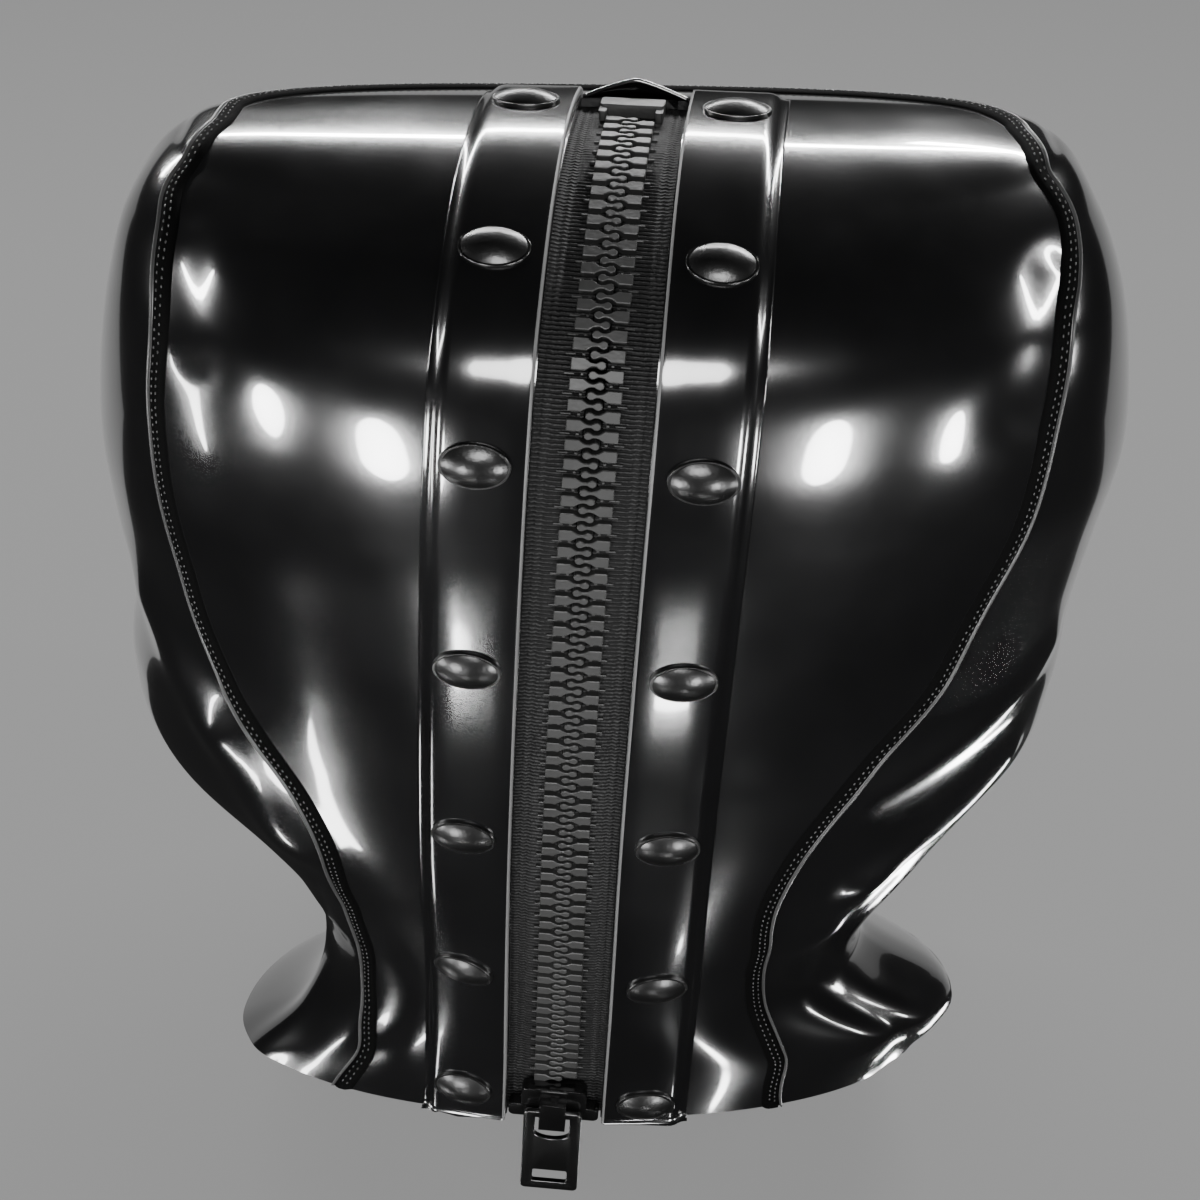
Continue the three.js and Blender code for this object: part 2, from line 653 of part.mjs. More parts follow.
// The puller's bar lies in the lower end of the bridge's window, and the plate hangs straight down
const barDown = bridgeReach - bridgeBar - barHalf - pullerPlay;
const barCentre = sliderFrame.point.clone()
  .addScaledVector(sliderFrame.normal, plateHigh + bridgeRoom / 2)
  .addScaledVector(sliderFrame.downward, barDown);
const pullerMesh = addMesh('zip_puller', pullerGeometry, zipMetal);
const pullerSide = sliderFrame.side.clone().negate();
const pullerUp = new THREE.Vector3(0, 0, 1).addScaledVector(pullerSide, -pullerSide.z).normalize();
pullerMesh.applyMatrix4(new THREE.Matrix4().makeBasis(
  pullerSide, pullerUp, pullerSide.clone().cross(pullerUp),
).setPosition(barCentre));

// Snap caps, seated on the plackets with one clearance
group.updateMatrixWorld(true);
const caster = new THREE.Raycaster();
function hitOn(mesh, origin, direction) {
  caster.set(origin, direction);
  mesh.material.side = THREE.DoubleSide;
  const hits = caster.intersectObject(mesh, false);
  return hits.length ? hits[0].point : null;
}
const castHeight = 25;
for (const [sideIndex, sideName] of ['left', 'right'].entries()) {
  const hand = sideIndex === 0 ? 1 : -1;
  const mesh = placketMeshes[sideIndex];
  capPlaces.forEach((share, index) => {
    const frame = zipFrame(capTopShift + share * (hemRun - capTopShift));
    const over = frame.point.clone()
      .addScaledVector(frame.side, hand * capOffset)
      .addScaledVector(frame.normal, castHeight);
    const inward = frame.normal.clone().negate();
    const reach = capRadius * 0.8;
    const around = [[reach, 0], [-reach, 0], [0, reach], [0, -reach]].map(([across, along]) => hitOn(
      mesh,
      over.clone().addScaledVector(frame.side, across).addScaledVector(frame.downward, along),
      inward,
    ));
    const axis = around[1].clone().sub(around[0]).cross(around[3].clone().sub(around[2])).normalize();
    if (axis.dot(frame.normal) < 0) axis.negate();
    const centre = hitOn(mesh, over, inward);
    const across = frame.side.clone().addScaledVector(axis, -frame.side.dot(axis)).normalize();
    const along = axis.clone().cross(across);
    let lift = 0;
    for (let k = 0; k < 16; k += 1) {
      const angle = (k / 16) * 2 * Math.PI;
      for (const ringShare of [0.5, 0.98]) {
        const origin = centre.clone().addScaledVector(axis, castHeight)
          .addScaledVector(across, Math.cos(angle) * capRadius * ringShare)
          .addScaledVector(along, Math.sin(angle) * capRadius * ringShare);
        const hit = hitOn(mesh, origin, axis.clone().negate());
        if (hit) lift = Math.max(lift, hit.sub(centre).dot(axis));
      }
    }
    const cap = addMesh(`snap_cap_${sideName}_${index + 1}`, capShape.clone(), capPaint);
    cap.applyMatrix4(new THREE.Matrix4().makeBasis(across, along, axis)
      .setPosition(centre.addScaledVector(axis, lift + clearance)));
  });
}

export default group;
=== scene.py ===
import math

import bpy
import numpy as np
from mathutils import Matrix, Vector
from mathutils.bvhtree import BVHTree
from mathutils.kdtree import KDTree


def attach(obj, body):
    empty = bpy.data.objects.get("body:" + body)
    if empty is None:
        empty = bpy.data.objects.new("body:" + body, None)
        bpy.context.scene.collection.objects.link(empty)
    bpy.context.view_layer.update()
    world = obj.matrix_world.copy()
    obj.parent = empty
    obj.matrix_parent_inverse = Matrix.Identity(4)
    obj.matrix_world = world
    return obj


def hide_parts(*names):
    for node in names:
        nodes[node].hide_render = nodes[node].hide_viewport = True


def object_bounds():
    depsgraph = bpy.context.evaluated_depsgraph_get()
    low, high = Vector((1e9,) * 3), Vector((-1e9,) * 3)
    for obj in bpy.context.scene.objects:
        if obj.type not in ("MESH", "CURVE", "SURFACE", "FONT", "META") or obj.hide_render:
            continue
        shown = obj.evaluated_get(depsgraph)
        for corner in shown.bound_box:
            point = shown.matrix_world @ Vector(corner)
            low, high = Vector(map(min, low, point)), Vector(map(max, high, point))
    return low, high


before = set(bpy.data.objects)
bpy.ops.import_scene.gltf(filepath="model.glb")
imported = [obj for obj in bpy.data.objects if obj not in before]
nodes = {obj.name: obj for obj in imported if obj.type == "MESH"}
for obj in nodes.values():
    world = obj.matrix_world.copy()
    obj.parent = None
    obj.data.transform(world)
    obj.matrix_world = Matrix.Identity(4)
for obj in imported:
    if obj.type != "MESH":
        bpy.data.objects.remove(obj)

# Latex hood, seen from behind and above. Lengths are worked out in millimetres in the CAD's frame, and
# every mesh is written in metres: +Z up, face towards -Y, zip towards +Y, +X the wearer's left.
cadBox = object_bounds()
mm = 0.001
bpy.ops.object.select_all(action="DESELECT")

# Camera, floor and light
camera = {"target": (0, -45, -89), "azimuth": 0.6, "elevation": 30, "roll": 0.53, "distance": 480,
          "lens": 73.5, "sensor": 36, "shiftX": -0.0011, "shiftY": -0.1148}


def addCamera():
    az, el, roll = (math.radians(camera[key]) for key in ("azimuth", "elevation", "roll"))
    back = Vector((-math.sin(az) * math.cos(el), math.cos(az) * math.cos(el), math.sin(el)))
    right = (-back).cross(Vector((0, 0, 1))).normalized()
    up = right.cross(-back)
    acrossPicture = right * math.cos(roll) + up * math.sin(roll)
    upPicture = up * math.cos(roll) - right * math.sin(roll)
    data = bpy.data.cameras.new("camera")
    data.lens, data.sensor_width = camera["lens"], camera["sensor"]
    data.shift_x, data.shift_y = camera["shiftX"], camera["shiftY"]
    data.clip_start = 0.01
    seat = bpy.data.objects.new("camera", data)
    bpy.context.collection.objects.link(seat)
    turn = Matrix((acrossPicture, upPicture, back)).transposed().to_4x4()
    seat.matrix_world = Matrix.Translation((Vector(camera["target"]) + back * camera["distance"]) * mm) @ turn
    bpy.context.scene.camera = seat


# name: place in mm, aimed at, shape, width and height in mm, roll in degrees, strength in watts
lights = {
    "backStrip": ((0, -620, 425), (0, 10, 0), "RECTANGLE", 1500, 26, -11, 22),
    "backRight": ((-330, -560, 470), (-40, 10, 0), "RECTANGLE", 420, 24, -16, 6),
    "leftBlob": ((343, 284, -140), (48, 45, -29), "ELLIPSE", 66, 110, 0, 1.6),
    "leftInnerBlob": ((215, 420, -190), (32, 50, -33), "ELLIPSE", 72, 150, 0, 2.6),
    "rightInnerBlob": ((-208, 422, -182), (-35, 49, -31), "ELLIPSE", 60, 160, 0, 2.6),
    "rightBlob": ((-336, 262, -184), (-55, 44, -33), "ELLIPSE", 48, 86, 0, 1),
    "overCamera": ((0, 640, 318), (0, 48, -20), "ELLIPSE", 330, 270, 0, 9),
    "leftSide": ((800, 80, 230), (64, 30, -30), "ELLIPSE", 40, 420, 0, 5),
    "rightSide": ((-800, 60, 230), (-66, 30, -30), "ELLIPSE", 40, 420, 0, 4.5),
    "lowLeft": ((100, 240, -312), (26, 48, -69), "ELLIPSE", 30, 12, 0, 0.12),
    "lowRight": ((-45, 240, -316), (-14, 48, -75), "ELLIPSE", 24, 12, 0, 0.1),
    "leftSoft": ((634, 169, -266), (80, 0, -110), "ELLIPSE", 34, 240, 0, 1.2),
    "rightSoft": ((-674, 83, -150), (-80, 0, -150), "ELLIPSE", 26, 120, 0, 0.8),
    "leftUnder": ((318, 142, -540), (75, -10, -130), "ELLIPSE", 24, 130, 0, 0.35),
    "rightUnder": ((-298, -200, -530), (-75, -20, -120), "ELLIPSE", 60, 200, 0, 0.9),
    "hemUnder": ((-160, 237, -618), (-20, 30, -185), "ELLIPSE", 14, 20, 0, 0.06),
    "behindLow": ((0, -1000, -420), (0, -45, -110), "RECTANGLE", 2600, 900, 0, 2.6),
}


def addLight(name, place, aim, shape, width, height, roll, watts):
    data = bpy.data.lights.new(name, "AREA")
    data.shape = shape
    data.size, data.size_y = width * mm, height * mm
    data.energy = watts
    lamp = bpy.data.objects.new(name, data)
    bpy.context.collection.objects.link(lamp)
    back = (Vector(place) - Vector(aim)).normalized()
    level = Vector((0, 0, 1)).cross(back).normalized()
    turn = Matrix((level, back.cross(level), back)).transposed().to_4x4()
    tilt = Matrix.Rotation(math.radians(roll), 4, "Z")
    lamp.matrix_world = Matrix.Translation(Vector(place) * mm) @ turn @ tilt
    lamp.visible_camera = False


# Size in metres, drop below the lowest point in millimetres
floor = {"size": 12, "drop": 0.4, "colour": (0.006, 0.006, 0.006, 1), "roughness": 0.9, "glow": 0.262}


def addFloor():
    bpy.ops.mesh.primitive_plane_add(size=floor["size"], location=(0, 0, cadBox[0].z - floor["drop"] * mm))
    ground = bpy.context.object
    ground.name = "floor"
    ground.data.materials.append(floorPaint())
    ground.visible_shadow = False
    ground.visible_glossy = False
    bpy.ops.object.select_all(action="DESELECT")


# Node tools
def newMaterial(name):
    material = bpy.data.materials.new(name)
    material.use_nodes = True
    tree = material.node_tree
    return material, tree, tree.nodes["Principled BSDF"]


# Inputs are values of the node's sockets, settings its own properties
def addNode(tree, kind, inputs=None, **settings):
    node = tree.nodes.new(kind)
    for key, value in settings.items():
        setattr(node, key, value)
    for key, value in (inputs or {}).items():
        node.inputs[key].default_value = value
    return node


def link(tree, source, target):
    tree.links.new(source, target)


def newGroup(name, inputs, outputs):
    group = bpy.data.node_groups.new(name, "ShaderNodeTree")
    for way, sockets in (("INPUT", inputs), ("OUTPUT", outputs)):
        for label, kind in sockets.items():
            group.interface.new_socket(name=label, in_out=way, socket_type="NodeSocket" + kind)
    return group, group.nodes.new("NodeGroupInput"), group.nodes.new("NodeGroupOutput")


# Polished rubber: slow ripples, fine peel and faint smudges, with the bumps' depths in metres
rubber = {"rippleScale": 26, "rippleDetail": 1.5, "rippleDepth": 0.0012, "peelScale": 900,
          "peelDepth": 0.0001, "smudgeScale": 45, "smudgeDetail": 6, "smudgeFrom": 0.3, "smudgeTo": 0.7,
          "darkest": 0.75, "lightest": 1.3}


def polishGroup():
    group, given, made = newGroup(
        "polish",
        {"Ripple": "Float", "Peel": "Float", "Low": "Float", "High": "Float", "Colour": "Color"},
        {"Colour": "Color", "Roughness": "Float", "Normal": "Vector"})
    place = addNode(group, "ShaderNodeTexCoord")
    ripple = addNode(group, "ShaderNodeTexNoise",
                     {"Scale": rubber["rippleScale"], "Detail": rubber["rippleDetail"]})
    peel = addNode(group, "ShaderNodeTexNoise", {"Scale": rubber["peelScale"]})
    smudge = addNode(group, "ShaderNodeTexNoise",
                     {"Scale": rubber["smudgeScale"], "Detail": rubber["smudgeDetail"]})
    for noise in (ripple, peel, smudge):
        link(group, place.outputs["Object"], noise.inputs["Vector"])
    slow = addNode(group, "ShaderNodeBump", {"Distance": rubber["rippleDepth"]})
    link(group, given.outputs["Ripple"], slow.inputs["Strength"])
    link(group, ripple.outputs["Fac"], slow.inputs["Height"])
    fine = addNode(group, "ShaderNodeBump", {"Distance": rubber["peelDepth"]})
    link(group, given.outputs["Peel"], fine.inputs["Strength"])
    link(group, peel.outputs["Fac"], fine.inputs["Height"])
    link(group, slow.outputs["Normal"], fine.inputs["Normal"])
    link(group, fine.outputs["Normal"], made.inputs["Normal"])
    rough = addNode(group, "ShaderNodeMapRange",
                    {"From Min": rubber["smudgeFrom"], "From Max": rubber["smudgeTo"]})
    link(group, smudge.outputs["Fac"], rough.inputs["Value"])
    link(group, given.outputs["Low"], rough.inputs["To Min"])
    link(group, given.outputs["High"], rough.inputs["To Max"])
    link(group, rough.outputs["Result"], made.inputs["Roughness"])
    tone = addNode(group, "ShaderNodeMix", {"Factor": 1}, data_type="RGBA", blend_type="MULTIPLY")
    shade = addNode(group, "ShaderNodeMapRange",
                    {"To Min": rubber["darkest"], "To Max": rubber["lightest"]})
    link(group, smudge.outputs["Fac"], shade.inputs["Value"])
    link(group, given.outputs["Colour"], tone.inputs["A"])
    link(group, shade.outputs["Result"], tone.inputs["B"])
    link(group, tone.outputs["Result"], made.inputs["Colour"])
    return group


polish = polishGroup()


# Colour is one grey, or red, green and blue; low and high are the roughness where smooth and smudged
def polished(name, colour, low, high, ripple=0.5, peel=0.05, coat=0.0, coatRough=0.06, shine=0.5):
    material, tree, shader = newMaterial(name)
    tint = colour if isinstance(colour, tuple) else (colour, colour, colour)
    values = {"Ripple": ripple, "Peel": peel, "Low": low, "High": high, "Colour": (*tint, 1)}
    node = addNode(tree, "ShaderNodeGroup", node_tree=polish)
    for key, value in values.items():
        node.inputs[key].default_value = value
    link(tree, node.outputs["Colour"], shader.inputs["Base Color"])
    link(tree, node.outputs["Roughness"], shader.inputs["Roughness"])
    link(tree, node.outputs["Normal"], shader.inputs["Normal"])
    shader.inputs["Coat Weight"].default_value = coat
    shader.inputs["Coat Roughness"].default_value = coatRough
    shader.inputs["Specular IOR Level"].default_value = shine
    return material


def floorPaint():
    material, tree, shader = newMaterial("floorPaint")
    shader.inputs["Base Color"].default_value = floor["colour"]
    shader.inputs["Roughness"].default_value = floor["roughness"]
    shader.inputs["Emission Color"].default_value = (1, 1, 1, 1)
    shader.inputs["Emission Strength"].default_value = floor["glow"]
    return material


# Woven tape, read from the piece's own map: U runs down the zip and V across it, in millimetres. Its colour
# follows the weave's bumps: painted sheen on the thread crests and painted shade in the grooves
# dark is the tape's colour in the grooves, a painted shade; light is its colour on the thread crests, a
# painted sheen
weave = {"threadScale": 0.39, "distortion": 2.4, "threadDetail": 3, "fluffScale": 2.2, "fluffDetail": 4,
         "depth": 0.0003, "valley": 0.25, "crest": 0.6, "dark": (0.0006, 0.0006, 0.0006, 1),
         "light": (0.018, 0.018, 0.018, 1), "roughness": 0.7, "shine": 0.12}


def tapeWeave():
    material, tree, shader = newMaterial("zipTape")
    place = addNode(tree, "ShaderNodeUVMap", uv_map="cloth")
    threads = addNode(tree, "ShaderNodeTexWave",
                      {"Scale": weave["threadScale"], "Distortion": weave["distortion"],
                       "Detail": weave["threadDetail"]}, wave_type="BANDS", bands_direction="X")
    fluff = addNode(tree, "ShaderNodeTexNoise",
                    {"Scale": weave["fluffScale"], "Detail": weave["fluffDetail"]})
    link(tree, place.outputs["UV"], threads.inputs["Vector"])
    link(tree, place.outputs["UV"], fluff.inputs["Vector"])
    mixed = addNode(tree, "ShaderNodeMath", operation="MULTIPLY")
    link(tree, threads.outputs["Fac"], mixed.inputs[0])
    link(tree, fluff.outputs["Fac"], mixed.inputs[1])
    bump = addNode(tree, "ShaderNodeBump", {"Distance": weave["depth"], "Strength": 1})
    link(tree, mixed.outputs["Value"], bump.inputs["Height"])
    link(tree, bump.outputs["Normal"], shader.inputs["Normal"])
    # Base colour taken from the bump's height: painted shade in the grooves, painted sheen on the crests
    sharp = addNode(tree, "ShaderNodeMapRange", {"From Min": weave["valley"], "From Max": weave["crest"]})
    link(tree, mixed.outputs["Value"], sharp.inputs["Value"])
    paintedSheenShade = addNode(tree, "ShaderNodeMix", {"A": weave["dark"], "B": weave["light"]}, data_type="RGBA")
    link(tree, sharp.outputs["Result"], paintedSheenShade.inputs["Factor"])
    link(tree, paintedSheenShade.outputs["Result"], shader.inputs["Base Color"])
    shader.inputs["Roughness"].default_value = weave["roughness"]
    shader.inputs["Specular IOR Level"].default_value = weave["shine"]
    return material


latexBlack = (0.0015, 0.0015, 0.0016)
finish = {
    "latex": polished("latex", latexBlack, 0.15, 0.21, ripple=0.4, coat=1, coatRough=0.05),
    "placket": polished("placketLatex", latexBlack, 0.15, 0.2, ripple=0.2, coat=0.6),
    "edge": polished("latexEdge", 0.045, 0.45, 0.6, ripple=0.6, peel=0.4, shine=0.3),
    "strip": polished("seamStrip", 0.0006, 0.7, 0.8, peel=0.4, shine=0.02),
    "bead": polished("seamEdge", 0.022, 0.3, 0.4, ripple=0.3, peel=0.2, shine=0.3),
    "stitch": polished("stitch", 0.02, 0.35, 0.45, ripple=0.1, peel=0.2, shine=0.3),
    "plastic": polished("zipPlastic", (0.009, 0.009, 0.0088), 0.42, 0.55, ripple=0.1, peel=0.8, shine=0.3),
    "metal": polished("blackMetal", 0.0012, 0.16, 0.22, ripple=0.2, peel=0.1, shine=0.6),
    "cap": polished("capPaint", 0.0015, 0.26, 0.34, ripple=0.1, peel=0.5, shine=0.3),
    "tape": tapeWeave(),
}
print("finishes ready")

# Skin of the hood, the same sizes as in the part
hood = {"height": 194, "backReach": 52, "frontReach": 138, "halfWidth": 92.6, "wall": 1.5,
        "foldRise": 1.6, "foldSpread": 8, "foldAround": 0.81, "foldDown": 0.093, "foldFrom": 0.3,
        "zipTopShift": -4.6, "zipHemShift": 7.3, "zipBow": 1.2}

# Crown to hem, as in the part: back depth and drop, front depth and drop, side share, left, right, squareness
sectionRows = [
    [0, 0, 0, 0, 0.5, 0, 0, 2],
    [0.25, 0.005, 0.085, 0.005, 0.55, 0.615, 0.66, 3],
    [0.5, 0.025, 0.19, 0.03, 0.56, 0.755, 0.81, 2.9],
    [0.75, 0.06, 0.29, 0.08, 0.54, 0.835, 0.88, 2.75],
    [0.935, 0.11, 0.42, 0.16, 0.515, 0.88, 0.935, 2.6],
    [1, 0.185, 0.57, 0.255, 0.49, 0.92, 0.975, 2.5],
    [0.99, 0.27, 0.73, 0.365, 0.47, 0.95, 1, 2.45],
    [0.95, 0.36, 0.87, 0.47, 0.455, 0.955, 0.985, 2.4],
    [0.905, 0.45, 0.955, 0.585, 0.445, 0.94, 0.96, 2.4],
    [0.845, 0.54, 1, 0.7, 0.43, 0.965, 0.955, 2.3],
    [0.79, 0.635, 0.995, 0.82, 0.41, 0.925, 0.905, 2.15],
    [0.725, 0.74, 0.89, 0.935, 0.37, 0.695, 0.72, 2.05],
    [0.64, 0.84, 0.66, 1.045, 0.345, 0.57, 0.565, 2],
    [0.55, 0.93, 0.565, 1.115, 0.35, 0.63, 0.755, 2],
    [0.515, 1, 0.61, 1.18, 0.4, 0.795, 0.725, 2.1],
]
lastSection = len(sectionRows) - 1

# Folds: from around and down, to around and down, spread, rise
foldRows = [
    [62, 7.7, 44, 8.8, 0.9, 1], [44, 8.8, 38, 10, 0.8, 0.9], [38, 10, 56, 11.3, 0.8, 0.7],
    [100, 9.1, 85, 9.3, 1.9, 0.6], [87, 12.2, 64, 14, 0.9, 0.9], [45, 13.2, 43, 11.9, 1, -0.6],
    [-55, 9.4, -38, 10.4, 0.75, 1.1], [-38, 10.4, -42, 11.1, 0.6, 0.9], [-60, 10.3, -54, 11.2, 1.1, -1.3],
    [-63, 8.1, -31, 9.2, 0.6, 0.7], [-95, 12.9, -105, 13.3, 2, 2], [-57, 12.1, -62, 13.6, 1, -0.9],
    [52, 2.8, 44, 4.2, 0.9, -0.5], [-54, 3.2, -44, 4.7, 0.9, -0.5],
]

# Seam, around and down, from the left hem over the crown to the right hem
seamRows = [
    [41, 14.3], [47, 13.4], [55, 12.6], [57, 12.1], [51, 11.5], [42, 10.8], [33, 10.05], [33, 9.5],
    [38, 8.7], [43, 8.15], [46, 7.6], [48, 6.7], [51, 5.6], [53, 4.8], [54, 4.15], [57, 3.4],
    [61, 2.8], [66, 2.4], [70, 2], [75, 1.55], [87, 1.25], [106, 1.25], [128, 1.4], [152, 1.65],
    [180, 1.8], [208, 1.65], [232, 1.4], [252, 1.25], [271, 1.32], [284, 1.6], [291, 2.05], [294, 2.7],
    [300, 3.4], [304, 3.8], [308, 4.5], [312, 5.3], [316, 6.3], [320, 7.2], [323, 7.9], [330, 8.7],
    [334, 9.4], [336, 10], [335, 10.55], [329, 11.3], [322, 12.05], [327, 12.8], [329, 13.4], [327, 14.3],
]


def realSections():
    rows = np.array(sectionRows, float)
    real = np.stack([
        rows[:, 0] * hood["backReach"], hood["wall"] - rows[:, 1] * hood["height"],
        -rows[:, 2] * hood["frontReach"], hood["wall"] - rows[:, 3] * hood["height"],
        rows[:, 4], rows[:, 5] * hood["halfWidth"], rows[:, 6] * hood["halfWidth"], rows[:, 7]], 1)
    mirrored = [[row[2], row[3], row[0], row[1], row[4], -row[5], -row[6], row[7]] for row in real[2:0:-1]]
    beyond = [2 * real[-1] - real[-1 - k] for k in (1, 2, 3)]
    return np.vstack([mirrored, real, beyond])


sectionTable = realSections()


def section(down):
    i = np.floor(down).astype(int)
    f = (down - i)[..., None]
    a, b, c, d = (sectionTable[i + k] for k in (1, 2, 3, 4))
    square, cube = 2 * a - 5 * b + 4 * c - d, 3 * b - a - 3 * c + d
    return 0.5 * (2 * b + (c - a) * f + square * f * f + cube * f ** 3)


def plainPoint(around, down):
    backY, backZ, frontY, frontZ, share, left, right, squareness = np.moveaxis(section(down), -1, 0)
    power = 2 / squareness
    s = np.sign(np.sin(around)) * np.abs(np.sin(around)) ** power
    c = np.sign(np.cos(around)) * np.abs(np.cos(around)) ** power
    sideY = backY + share * (frontY - backY)
    sideZ = backZ + share * (frontZ - backZ)
    return np.stack([
        np.where(s > 0, left, right) * s,
        np.where(c > 0, sideY + (backY - sideY) * c, sideY + (sideY - frontY) * c),
        np.where(c > 0, sideZ + (backZ - sideZ) * c, sideZ + (sideZ - frontZ) * c)], -1)


def unit(vectors):
    return vectors / np.maximum(np.linalg.norm(vectors, axis=-1, keepdims=True), 1e-12)


def normalOf(point, around, down, step=0.02):
    alongDown = point(around, down + step) - point(around, down - step)
    alongAround = point(around + step, down) - point(around - step, down)
    return unit(np.cross(alongAround, alongDown))


def foldHeight(around, down):
    acrossScale, downScale = hood["foldAround"] * hood["halfWidth"], hood["foldDown"] * hood["height"]
    wrapped = np.arctan2(np.sin(around), np.cos(around))
    height = np.zeros_like(wrapped)
    for fromAround, fromDown, toAround, toDown, spread, rise in foldRows:
        ax, bx = math.radians(fromAround) * acrossScale, math.radians(toAround) * acrossScale
        ay, by = fromDown * downScale, toDown * downScale
        px, py = wrapped * acrossScale - ax, down * downScale - ay
        along = np.clip((px * (bx - ax) + py * (by - ay)) / ((bx - ax) ** 2 + (by - ay) ** 2), 0, 1)
        distance = np.hypot(px - along * (bx - ax), py - along * (by - ay))
        height += rise * hood["foldRise"] * np.exp(-(distance / (spread * hood["foldSpread"])) ** 2)
    return height


def foldedPoint(around, down):
    height = foldHeight(around, down) * (down >= hood["foldFrom"])
    return plainPoint(around, down) + normalOf(plainPoint, around, down) * height[..., None]


# Rings of the skin from the crown to the hem, closed round, with one point at the crown
def skinGrid(aroundCount, downCount, crowding=1.3):
    downs = lastSection * (np.arange(1, downCount + 1) / downCount) ** crowding
    arounds = 2 * np.pi * np.arange(aroundCount) / aroundCount
    around, down = np.meshgrid(arounds, downs)
    points = np.vstack([[[0, 0, hood["wall"]]], foldedPoint(around, down).reshape(-1, 3)])
    faces = [(0, 1 + (k + 1) % aroundCount, 1 + k) for k in range(aroundCount)]
    for row in range(downCount - 1):
        top, low = 1 + row * aroundCount, 1 + (row + 1) * aroundCount
        for k in range(aroundCount):
            n = (k + 1) % aroundCount
            faces.append((top + n, low + n, low + k, top + k))
    return points, faces


# Keeps the part of a mesh where value is above nought, cutting its faces along the line of nought
def clipped(points, faces, value):
    points, value = list(points), list(value)
    made, kept = {}, []
    for face in faces:
        inside = [value[i] >= 0 for i in face]
        if all(inside):
            kept.append(face)
        elif any(inside):
            ring = []
            for k, i in enumerate(face):
                j = face[(k + 1) % len(face)]
                if inside[k]:
                    ring.append(i)
                if inside[k] != (value[j] >= 0):
                    key = (min(i, j), max(i, j))
                    if key not in made:
                        share = value[key[0]] / (value[key[0]] - value[key[1]])
                        made[key] = len(points)
                        points.append(points[key[0]] + share * (points[key[1]] - points[key[0]]))
                        value.append(0)
                    ring.append(made[key])
            if len(ring) > 2:
                kept.append(tuple(ring))
    used = sorted({i for face in kept for i in face})
    place = {old: new for new, old in enumerate(used)}
    return np.array([points[i] for i in used]), [tuple(place[i] for i in face) for face in kept]


# Gives an open sheet its wall: an inner copy, and a rim round every open edge
def walled(points, faces, thickness):
    normals = np.zeros_like(points)
    for face in faces:
        ring = points[list(face)]
        if len(face) > 3:
            normals[list(face)] += np.cross(ring[2] - ring[0], ring[-1] - ring[1])
        else:
            normals[list(face)] -= np.cross(ring[2] - ring[0], ring[1] - ring[0])
    count = len(points)
    edges = {(i, face[(k + 1) % len(face)]): True for face in faces for k, i in enumerate(face)}
    rim = [(j, j + count, i + count, i) for i, j in edges if (j, i) not in edges]
    inner = [tuple(i + count for i in face[::-1]) for face in faces]
    return np.vstack([points, points - unit(normals) * thickness]), faces + inner + rim


# Making pieces
def newPiece(name, points, faces, material, smooth=True, cloth=None):
    mesh = bpy.data.meshes.new(name)
    mesh.from_pydata([tuple(p) for p in np.asarray(points) * mm], [], faces)
    mesh.polygons.foreach_set("use_smooth", [smooth] * len(mesh.polygons))
    if cloth is not None:
        layer = mesh.uv_layers.new(name="cloth")
        corners = np.zeros(len(mesh.loops), dtype=np.int32)
        mesh.loops.foreach_get("vertex_index", corners)
        layer.data.foreach_set("uv", np.asarray(cloth, np.float32)[corners].ravel())
    mesh.materials.append(material)
    mesh.update()
    piece = bpy.data.objects.new(name, mesh)
    bpy.context.collection.objects.link(piece)
    return piece


def select(piece):
    bpy.ops.object.select_all(action="DESELECT")
    piece.select_set(True)
    bpy.context.view_layer.objects.active = piece


def applied(piece, kind, **settings):
    modifier = piece.modifiers.new(kind.lower(), kind)
    for key, value in settings.items():
        setattr(modifier, key, value)
    select(piece)
    bpy.ops.object.modifier_apply(modifier=modifier.name)
    return piece


def settle(piece, body, slot, *replaced):
    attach(piece, body)
    if replaced:
        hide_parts(*replaced)
    bpy.ops.object.select_all(action="DESELECT")


# Rows of points joined round into one closed piece, with both ends filled
def sweptPiece(name, grid, material, cloth=None):
    rowCount, columnCount, _ = grid.shape
    faces = []
    for i in range(rowCount - 1):
        for k in range(columnCount):
            a, b = i * columnCount + k, i * columnCount + (k + 1) % columnCount
            faces.append((a, b, b + columnCount, a + columnCount))
    faces.append(tuple(range(columnCount))[::-1])
    faces.append(tuple(range((rowCount - 1) * columnCount, rowCount * columnCount)))
    return outward(newPiece(name, grid.reshape(-1, 3), faces, material, cloth=cloth))


# Gives the faces between two columns of a swept piece a second finish
def addFinish(piece, material, columnCount, first, last):
    piece.data.materials.append(material)
    for polygon in piece.data.polygons:
        columns = [v % columnCount for v in polygon.vertices]
        if len(columns) == 4 and min(columns) >= first and max(columns) <= last:
            polygon.material_index = 1


def outward(piece):
    select(piece)
    bpy.ops.object.mode_set(mode="EDIT")
    bpy.ops.mesh.select_all(action="SELECT")
    bpy.ops.mesh.normals_make_consistent(inside=False)
    bpy.ops.object.mode_set(mode="OBJECT")
    return piece


# Smooth, apart from edges that turn by more than the angle
def smoothed(piece, angle=35):
    select(piece)
    bpy.ops.object.shade_smooth_by_angle(angle=math.radians(angle))
    return piece


# Line of the zip, in sections down: from ahead of the crown to beyond the hem, and where it is still level;
# reach is the half-length in millimetres over which its direction is taken
zipLine = {"ahead": -2, "beyond": 0.4, "count": 411, "reach": 3, "levelTo": 2, "blend": 0.5}


def zipPoint(down):
    profile = section(np.abs(down))
    k = down / lastSection
    lean, bow = hood["zipHemShift"] - hood["zipTopShift"], hood["zipBow"]
    x = hood["zipTopShift"] + lean * k + bow * 4 * k * (1 - k)
    ahead = down < 0
    return np.stack([x, np.where(ahead, profile[..., 2], profile[..., 0]),
                     np.where(ahead, profile[..., 3], profile[..., 1])], -1)


